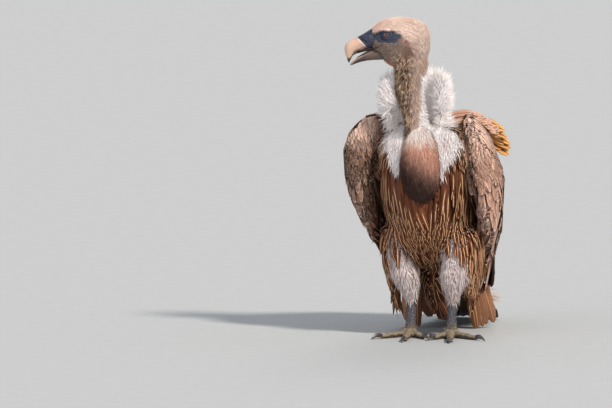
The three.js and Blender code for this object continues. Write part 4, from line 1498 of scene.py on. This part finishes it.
# %% Shoulder feathers
scapular_paint = feather_paint(
    "scapular_paint", shaft=dye(70, 46, 30), shaft_width=0.12, margin=dye(220, 162, 100), margin_width=0.45,
    margin_share=0.7, core=dye(98, 62, 40), varies=0.35, grain=160.0, rough=0.62, strands=0.4)
SHOULDER_ROOTS = np.array([
    [44, 4, 474], [60, 16, 472], [80, 30, 466], [96, 42, 458], [106, 54, 448], [108, 62, 436],
    [104, 70, 422],
], float)
SHOULDER_TIPS = np.array([
    [86, 20, 482], [108, 34, 474], [130, 50, 460], [149, 62, 441], [160, 74, 419], [161, 84, 400],
    [153, 92, 382],
], float)
SHOULDER_ROWS = (
    # first and last point of the line, length, feathers, paint, colour, half width, how far under
    (2, 7, 1.0, 6, scapular_paint, dye(222, 156, 84), 10.5, 0),
    (0, 4, 1.0, 12, small_covert_paint, COVERT_BROWN, 8.0, 0),
    (2, 7, 0.74, 5, scapular_paint, dye(206, 144, 84), 10.5, 0),
    (0, 5, 0.7, 12, small_covert_paint, dye(190, 142, 118), 8.0, 0),
    (0, 4, 0.8, 9, small_covert_paint, dye(186, 138, 114), 8.5, 10),
    (0, 4, 0.7, 9, small_covert_paint, dye(178, 130, 108), 8.5, 19),
)


def saddle_colour(spot, facing, kind):
    return mixed(dye(186, 142, 114), dye(160, 118, 92), 0.5 + 0.5 * mottle(spot, 20, 49))


x, y, z = CENTRES.T
on_top = (y > -30) & (y < 140) & (z > 385) & (FACING[:, 2] + FACING[:, 1] * 0.6 > 0.15)
for side, turn in (("left", 1), ("right", -1)):
    saddle = part("trunk", f"wing_{side}_coverts") & (x * turn > 30) & (x * turn < 104) & on_top
    coat(f"shoulder_{side}_row_0", scapular_paint, saddle, 12.5, 62.0, 13.0, toward(0.38 * turn, 0.72, -0.55),
         saddle_colour, seed=45, slot="scapular_feather", shape=vane(0.3, 0.62, 2.0), lift=(4.0, 10.5),
         rise=0.06, swing=0.08, vary=0.15, stretch=1.4, uneven=0.06, tile=0.1 * turn, fray=0.04, steady=0.6,
         stray=26.0, **whole)
    roots = SHOULDER_ROOTS if turn > 0 else SHOULDER_ROOTS * [0.9, 1, 1] - [0, 0, 14]
    tips = SHOULDER_TIPS if turn > 0 else roots + (SHOULDER_TIPS - roots) * 0.5 + [-6, 52, -24]
    face_out = [0.25, -0.8, 0.54] if turn > 0 else [0.8, 0.1, 0.6]
    for row, (first, last, long, count, paint, tint, wide, down) in enumerate(SHOULDER_ROWS):
        tint = tint if turn > 0 else COVERT
        lower = np.array([0, -0.8 * down, -down])
        starts = (roots - (tips - roots) * 0.2 + lower)[first:last]
        ends = (roots + (tips - roots) * long + lower)[first:last]
        half = np.random.default_rng(row).uniform(wide - 1.5, wide + 1.5, count)
        fan(f"shoulder_{side}_row_{row + 1}", paint, starts, ends, count, half, face_out, plain(tint, tint),
            side=turn, bow=4, layer=1.0, lead=1.0, seed=44 + row, rise=0.7,
            extra=2.0 * row, tip=0.62, point=1.9, sway=11.0, stations=12,
            stands_for=[f"scapulars_{side}"] if row == 0 else ())

# %% [markdown]
# ## Thighs, flanks and undertail
# White down covers the legs to the ankles like trousers. Long loose feathers hang outside
# them from the flanks, and the undertail is a soft sheaf of rounded brown ones.

# %% Thighs, flanks and undertail
thigh_paint = feather_paint("thigh_down_paint", varies=0.18, grain=260.0, rough=0.9, sheen=0.35)
thighs = part("thigh_left", "thigh_right")


def cuff_lie(spot, facing):
    return downwards(spot, facing) + facing * [0.25, 0.25, 0]


coat("thigh_down", thigh_paint, thighs, 2.3, 12.0, 1.1, toward(0.0, 0.1, -1.0), marking, seed=51,
     slot="thigh_down", lift=(0.0, 6.5), swing=0.3, curl=1.5, vary=0.3, **loose)
coat("thigh_cuffs", thigh_paint, thighs & (CENTRES[:, 2] < 158), 2.6, 24.0, 1.3, cuff_lie, marking, seed=55,
     slot="thigh_down", steps=5, lift=(1.0, 9.0), swing=0.22, hold=0.25, curl=2.0, vary=0.3, **loose)
coat("flank_feathers", lance_paint, part("flank_left", "flank_right"), 4.8, 60.0, 4.4,
     toward(0.0, 0.18, -1.0), marking, seed=52, slot="body_feather", shape=lance, lift=(0.5, 6.5),
     rise=0.05, swing=0.1, uneven=0.08, tile=0.13, fray=0.06, steady=0.7, hold=0.8, vary=0.25,
     stretch=2.2, **whole)
coat("undertail_feathers", undertail_paint, part("undertail_coverts"), 10.0, 66.0, 9.5,
     toward(0.0, 0.86, -0.5), marking, seed=53, slot="body_feather", shape=blade,
     ends=[0, 0.2, 0.45, 0.7, 0.86, 0.95, 1], lift=(0.5, 7.5), rise=0.06, ribs=BROAD, swing=0.1,
     uneven=0.08, tile=0.1, fray=0.04, hold=0.8, patch=0.004, stretch=1.5)

# %% A loose tuft on the left
TUFTS = 90
dice = np.random.default_rng(54)
start, up = drop(place(dice.normal([78, 196, 78], [4, 6, 6], (TUFTS, 3))))
end = place(dice.normal([104, 220, 66], [9, 9, 12], (TUFTS, 3)))
stations = np.linspace(0, 1, 5)
share = stations[None, :, None]
bend = up[:, None] * (np.sin(share * np.pi) * 0.006) * dice.uniform(0, 1.6, (TUFTS, 1, 1))
shafts = start[:, None] + (end - start)[:, None] * share + bend
half = 0.0012 * np.broadcast_to(spike(stations), (TUFTS, 5))
tints = mixed(dye(238, 214, 196), dye(196, 152, 124), dice.random(TUFTS))
plumes("flank_tuft", thigh_paint, shafts, np.broadcast_to(up[:, None], shafts.shape), half, 0.0003, FLAT,
       tints, unroll(start, kinds(start)), 0.003, stations)

# %% [markdown]
# ## The bill and cere
# The upper bill is one smooth hook. A soft slate cere wraps its root and ends on a slant at
# the nostril. Both come from one remeshed copy of the bill solids, cut along that slant.

# %% Smooth copies of solids
def smooth_copy(name, names, voxel, turns, grow=0.0):
    """One smooth closed surface round copies of some solids."""
    corners, faces, _ = joined(names)
    made = remeshed(new_object(name, corners, faces), voxel)
    at, _ = arrays(made.data)
    at = relaxed(at, edges_of(made.data), turns)
    put(made.data, at)
    put(made.data, at + normals_of(made.data) * grow)
    return made


def cut(obj, point, direction):
    """Keeps the part of a closed surface on the side that direction points from, and closes it."""
    shape = bmesh.new()
    shape.from_mesh(obj.data)
    plane = {"plane_co": point, "plane_no": direction, "clear_outer": True}
    made = bmesh.ops.bisect_plane(shape, geom=[*shape.verts, *shape.edges, *shape.faces], **plane)
    bmesh.ops.holes_fill(shape, edges=[e for e in made["geom_cut"] if isinstance(e, bmesh.types.BMEdge)])
    shape.to_mesh(obj.data)
    shape.free()


def box_map(obj):
    """A simple map for a small piece: rolled out round the head's long axis."""
    at, _ = arrays(obj.data)
    own = head_plan(plan(at))
    middle = own.mean(0)
    turn = np.arctan2(own[:, 2], own[:, 1] - middle[1]) / (2 * np.pi) + 0.5
    along = (own[:, 0] - own[:, 0].min()) / np.ptp(own[:, 0])
    set_map(obj.data, np.stack([turn, along], 1)[loops_of(obj.data)])


def hard_paint(name, finish, grain, strength, stretch=(1, 1, 1)):
    """Horn and other bare hard skin: the stored colour with a fine streak in tone and height."""
    paint = Paint(name, finish)
    streak = paint.noise(grain, 3.0, paint.here(stretch))
    colour = paint.toned(paint.read("dye", "Color"), 0.85 + streak * 0.3)
    paint.feed(Base_Color=colour, Normal=paint.bump(streak, strength, 0.0006))
    return paint


BILL_VOXEL = 0.0012
horn_finish = {"Roughness": 0.34, "Specular IOR Level": 0.5, "Coat Weight": 0.25, "Coat Roughness": 0.25}
horn_paint = hard_paint("bill_horn_paint", horn_finish, 160.0, 0.3, (1, 1, 2))
cere_paint = hard_paint("cere_paint", {"Roughness": 0.5, "Specular IOR Level": 0.45}, 420.0, 0.5)
horn = smooth_copy("bill", ["bill_upper", "cere"], BILL_VOXEL, 8)
cere = smooth_copy("cere_skin", ["bill_upper", "cere"], BILL_VOXEL, 8, 0.0005)
slant_point, slant = from_head(80, -5, 0), unit(AHEAD * 0.58 - UP * 0.55)
cut(horn, slant_point - slant * 0.001, -slant)
cut(cere, slant_point, slant)
box_map(horn)
box_map(cere)
settle(horn, horn_paint, ["bill_upper"])
settle(cere, cere_paint, ["cere"])
print("faces of horn and cere", len(horn.data.polygons), len(cere.data.polygons))

# %% Colours and relief of the upper bill and cere
BILL_EDGE = ([54, 67, 79, 89, 97, 101.5, 103.5, 106], [-16, -20, -23, -26, -31, -37, -42, -46])
SLIT_BACK, SLIT_LOW, SLIT_RUN, SLIT_RISE = 71, -6.5, 12, 9.5


def slit(a, u, o):
    """1 in the nostril, a narrow slanting slit near the front of the cere."""
    a, u = a - SLIT_BACK, u - SLIT_LOW
    along = np.clip((a * SLIT_RUN + u * SLIT_RISE) / 234, 0, 1)
    return bell(np.hypot(a - SLIT_RUN * along, u - SLIT_RISE * along), 1.25) * (np.abs(o) > 5)


at, _ = arrays(cere.data)
put(cere.data, at - normals_of(cere.data) * (slit(*head_plan(plan(at)).T) * 0.0024)[:, None])
at, _ = arrays(horn.data)
a, u, _ = head_plan(plan(at)).T
low = u - np.interp(a, *BILL_EDGE)
fuller_edge = (1.8 * bell(a - 82, 12) + 2.4 * bell(a - 94, 6)) * ramp(-low, -9, 0)
put(horn.data, at - np.outer(fuller_edge / 1000, UP))
# A pale line on the horn along the cere's edge: a painted highlight.
cere_edge_highlight = bell((a - 80) * 0.726 - (u + 5) * 0.688 - 1.2, 1.3)
tone = mixed(HORN, dye(150, 132, 130), ramp(-a, -88, -70) * 0.7)
tone = mixed(tone, dye(224, 190, 160), ramp(a - 0.5 * u, 92, 112) * 0.5)
tone = mixed(DARK_HORN, tone, ramp(low + 1.2 * mottle(plan(at), 8, 61), 2.0, 9.5))
tone = mixed(tone, DARK_HORN, ramp(-u, 40, 48))
tone = mixed(tone, dye(236, 230, 226), cere_edge_highlight * ramp(u, -15, -11) * ramp(-u, -4, 0) * 0.9)
store_dye(horn, tone)
at, _ = arrays(cere.data)
tone = mixed(SLATE, dye(44, 44, 58), 0.5 + 0.5 * mottle(plan(at), 6, 62))
# The nostril slit is painted near black: painted shade inside it.
store_dye(cere, mixed(tone, dye(8, 7, 8), np.clip(slit(*head_plan(plan(at)).T) * 1.6, 0, 1)))
print("bill edge filled by up to", round(float(fuller_edge.max()), 1), "mm")

# %% Lower bill
LOWER_TOP = ([34, 47, 61, 77, 92, 102, 106], [-18, -19.5, -27, -34, -41.5, -48.5, -53])
lower = smooth_copy("lower_bill", ["bill_lower"], BILL_VOXEL, 6)
at, _ = arrays(lower.data)
a, u, _ = head_plan(plan(at)).T
over_top = u - np.interp(a, *LOWER_TOP)
put(lower.data, at + np.outer(3.2 * bell(a - 76, 20) * ramp(over_top, -6, 0) / 1000, UP))
tone = mixed(dye(92, 76, 66), DARK_HORN, ramp(a, 60, 80) * 0.7)
tone = mixed(tone, dye(196, 168, 146), ramp(over_top, -4.0, -1.0) * 0.9)
tone = mixed(tone, dye(186, 150, 128), ramp(a, 97, 105) * 0.7)
store_dye(lower, tone)
box_map(lower)
settle(lower, horn_paint, ["bill_lower"])
print("lower bill faces", len(lower.data.polygons))

# %% [markdown]
# ## Inside the mouth
# The bill is parted, so the tongue and the ridged roof of the mouth show between its edges.
# Each is a short row of ovals joined up.

# %% Tongue and palate
OVAL = 16


def oval_loft(name, middles, high, wide, colour):
    """A closed shape through ovals whose middles are (ahead, up) on the head's middle plane."""
    spin = np.arange(OVAL) / OVAL * 2 * np.pi
    rows = np.concatenate([
        np.stack([np.full(OVAL, a), u + h * np.sin(spin), w * np.cos(spin)], 1)
        for (a, u), h, w in zip(middles, high, wide)
    ])
    ends = [tuple(range(OVAL - 1, -1, -1)), tuple(range(len(rows) - OVAL, len(rows)))]
    made = new_object(name, from_head(*rows.T), belts(len(middles), OVAL) + ends)
    shape = bmesh.new()
    shape.from_mesh(made.data)
    bmesh.ops.recalc_face_normals(shape, faces=shape.faces)
    shape.to_mesh(made.data)
    shape.free()
    at, _ = arrays(made.data)
    store_dye(made, mixed(colour, colour * 0.6, 0.5 + 0.5 * mottle(plan(at), 6, 69)))
    box_map(made)
    settle(made, cere_paint)


TONGUE = [(44, -19), (54, -22), (66, -27.5), (78, -33.5), (88, -38.5), (93, -41)]
PALATE = [(46, -15), (58, -18), (70, -21.5), (82, -25), (91, -29)]
oval_loft("tongue", TONGUE, [3, 4, 4.2, 3.6, 2.4, 0.8], [7, 8, 8, 7, 4.5, 1.5], dye(88, 68, 66))
# The roof of the mouth is painted darker than the tongue: painted shade under the upper bill.
oval_loft("palate", PALATE, [3, 3.6, 3.6, 3.2, 1.5], [7, 9, 9, 7, 3], dye(58, 44, 46))
print("mouth lined")

# %% [markdown]
# ## Eyes
# Each eye is a ball with a slight bulge at the front. Colour depends on the angle from the
# line of sight: pupil, brown iris with fine spokes, then a dark rim that runs on round the ball.

# %% Eye paint
PUPIL, IRIS = 2.3, 5.0
BLACK = (0.004, 0.004, 0.005, 1)
eye_finish = {"Roughness": 0.08, "Specular IOR Level": 0.6, "Coat Weight": 1.0, "Coat Roughness": 0.02}
eye_paint = Paint("eye_paint", eye_finish)
off = eye_paint.read("off")
spokes = eye_paint.noise(900.0, 3.0)
iris = eye_paint.blend(spokes, dye(70, 38, 18), dye(150, 84, 34))
colour = eye_paint.blend(eye_paint.band(off, IRIS - 0.4, IRIS + 0.4), iris, dye(26, 18, 16))
colour = eye_paint.blend(1 - eye_paint.band(off, PUPIL - 0.2, PUPIL + 0.2), colour, BLACK)
eye_paint.feed(Base_Color=colour)
print("pupil", 2 * PUPIL, "mm and iris", 2 * IRIS, "mm across")

# %% Eyeballs
RING, STEPS = 32, 20
BEHIND = 20


def ball(turn):
    """Corners and faces of an eyeball that bulges a little at the front, in the head's own mm."""
    slope = np.linspace(0, np.pi, STEPS)
    spin = np.arange(RING) / RING * 2 * np.pi
    radius = EYE_RADIUS - 0.15 + 0.5 * np.exp(-((slope / 0.5) ** 4))
    out, front = radius * np.sin(slope), radius * np.cos(slope)
    grid = np.stack([np.outer(out, np.cos(spin)), np.outer(out, np.sin(spin)),
                     np.outer(front, np.ones(RING)) * turn], -1)[1:-1].reshape(-1, 3)
    ends = np.array([[0, 0, radius[0] * turn], [0, 0, -radius[-1] * turn]])
    last = len(grid) - RING
    faces = belts(STEPS - 2, RING)
    faces += [(len(grid), (r + 1) % RING, r) for r in range(RING)]
    faces += [(len(grid) + 1, last + r, last + (r + 1) % RING) for r in range(RING)]
    own = np.concatenate([grid, ends]) + EYE_SEAT * [1, 1, turn]
    return own, [f[::-1] for f in faces] if turn > 0 else faces


for side, turn in (("left", 1), ("right", -1)):
    own, faces = ball(turn)
    made = new_object(f"eyeball_{side}", from_head(*own.T), faces)
    far = np.hypot(own[:, 0] - EYE[0], own[:, 1] - EYE[1])
    store(made.data, "off", far + np.where(own[:, 2] * turn < EYE[2], BEHIND, 0))
    settle(made, eye_paint, [f"eye_{side}"])
print("eyes set", round(2 * EYE_RADIUS, 1), "mm across")

# %% [markdown]
# ## Scales and claws
# Broad scutes lap over the tops of the toes and small round scales cover the ankles. The
# claws are smooth dark hooks.

# %% Ankle scales
scale_paint = feather_paint(
    "scale_paint", margin=LINE_DARK, margin_width=0.12, root=LINE_DARK, varies=0.35, grain=260.0, rough=0.5)
ankles = part("tarsus_left", "tarsus_right") & (CENTRES[:, 2] < 100)
coat("ankle_scales", scale_paint, ankles, 3.6, 5.2, 2.5, downwards, marking, seed=71, slot="leg_scale",
     shape=vane(0.2, 0.6, 2.0), steps=5, lift=(0.0, 0.9), ribs=BROAD, swing=0.1)

# %% Scutes on the toes
ROUND = [(t, math.sqrt(1 - t * t)) for t in (-1, -0.86, -0.55, 0, 0.55, 0.86, 1)]
# Each toe's length, half its width, and its angle from straight ahead.
TOE_SIZES = {"middle": (112, 8.5, 7), "inner": (70, 8.1, -24), "outer": (84, 7.7, 50), "hind": (44, 7.9, 190)}
# Each foot's distance from the middle plane, and how far it is turned out.
FEET = {"left": (1, 49, 3), "right": (-1, 41, -12)}
TOE_START, TOE_END, SCUTE_STEP = 14, 3, 6.2
FOOT_MIDDLE, TOE_TOP = -4, 21
# A scute along the toe: place, lift and share of its width.
SCUTE = [(-3.8, 0.1, 0.9), (-2.4, 0.6, 0.98), (0, 0.9, 1.0), (2.4, 0.9, 0.98), (3.6, 0.1, 0.9)]


def toe_scutes(turn, foot, yaw):
    """Middle lines and half widths of all the scutes of one foot."""
    middles, halves = [], []
    for reach, half, angle in TOE_SIZES.values():
        turned = math.radians(angle + yaw)
        way = np.array([turn * math.sin(turned), -math.cos(turned), 0])
        for along in np.arange(TOE_START, reach - TOE_END, SCUTE_STEP):
            wide = half * (1.12 - 0.34 * (along / reach))
            spot = np.array([turn * foot, FOOT_MIDDLE, 0]) + way * along
            hit = ground_tree.ray_cast(Vector(place(spot + UP * 60)), Vector(-UP))[0]
            top = min(hit.z * 1000 if hit else 16, TOE_TOP)
            middles.append([spot + way * s + UP * (top - wide + 0.1 + lift) for s, lift, _ in SCUTE])
            halves.append([wide * share for _, _, share in SCUTE])
    return np.array(middles), np.array(halves)


def lay_scutes(side):
    middles, halves = toe_scutes(*FEET[side])
    tints = mixed(TOE_TAN, dye(116, 106, 94), np.random.default_rng(72).random(len(middles)) * 0.7)
    spots = place(middles[:, 2])
    plumes(f"scutes_{side}", scale_paint, place(middles), np.broadcast_to(UP, middles.shape), halves / 1000,
           halves / 1000, ROUND, tints, unroll(spots, kinds(spots)), 0.003, np.linspace(0, 1, 5))


print("scutes on the left foot", len(toe_scutes(*FEET["left"])[0]))

# %% Claws
CLAW_VOXEL = 0.0009
claw_finish = {"Roughness": 0.3, "Specular IOR Level": 0.5, "Coat Weight": 0.3, "Coat Roughness": 0.2}
claw_paint = hard_paint("claw_paint", claw_finish, 200.0, 0.25)


def set_claws(side):
    names = [f"claw_{toe}_{side}" for toe in TOE_SIZES]
    claws = smooth_copy(f"claws_{side}", names, CLAW_VOXEL, 5)
    at, _ = arrays(claws.data)
    put(claws.data, above_floor(at))
    store_dye(claws, mixed(dye(46, 40, 40), dye(112, 98, 92), 0.3 + 0.3 * mottle(plan(at), 12, 73)))
    settle(claws, claw_paint, names)


for side in FEET:
    lay_scutes(side)
    set_claws(side)
print("claws", len(FEET) * len(TOE_SIZES))

# %% [markdown]
# ## Size and finish
# The model's own box is measured against the box of the solids that it dresses, because a
# coat that sticks out too far, or a tuft through the floor, would show there first.

# %% Finish
print("triangles in coats", sum(tally.values()))
visual_box = [list(corner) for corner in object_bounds()]
past = [[round((v - s) * 1000, 1) for v, s in zip(*pair)] for pair in zip(visual_box, solid_box)]
print("over the solids' box, mm", past)
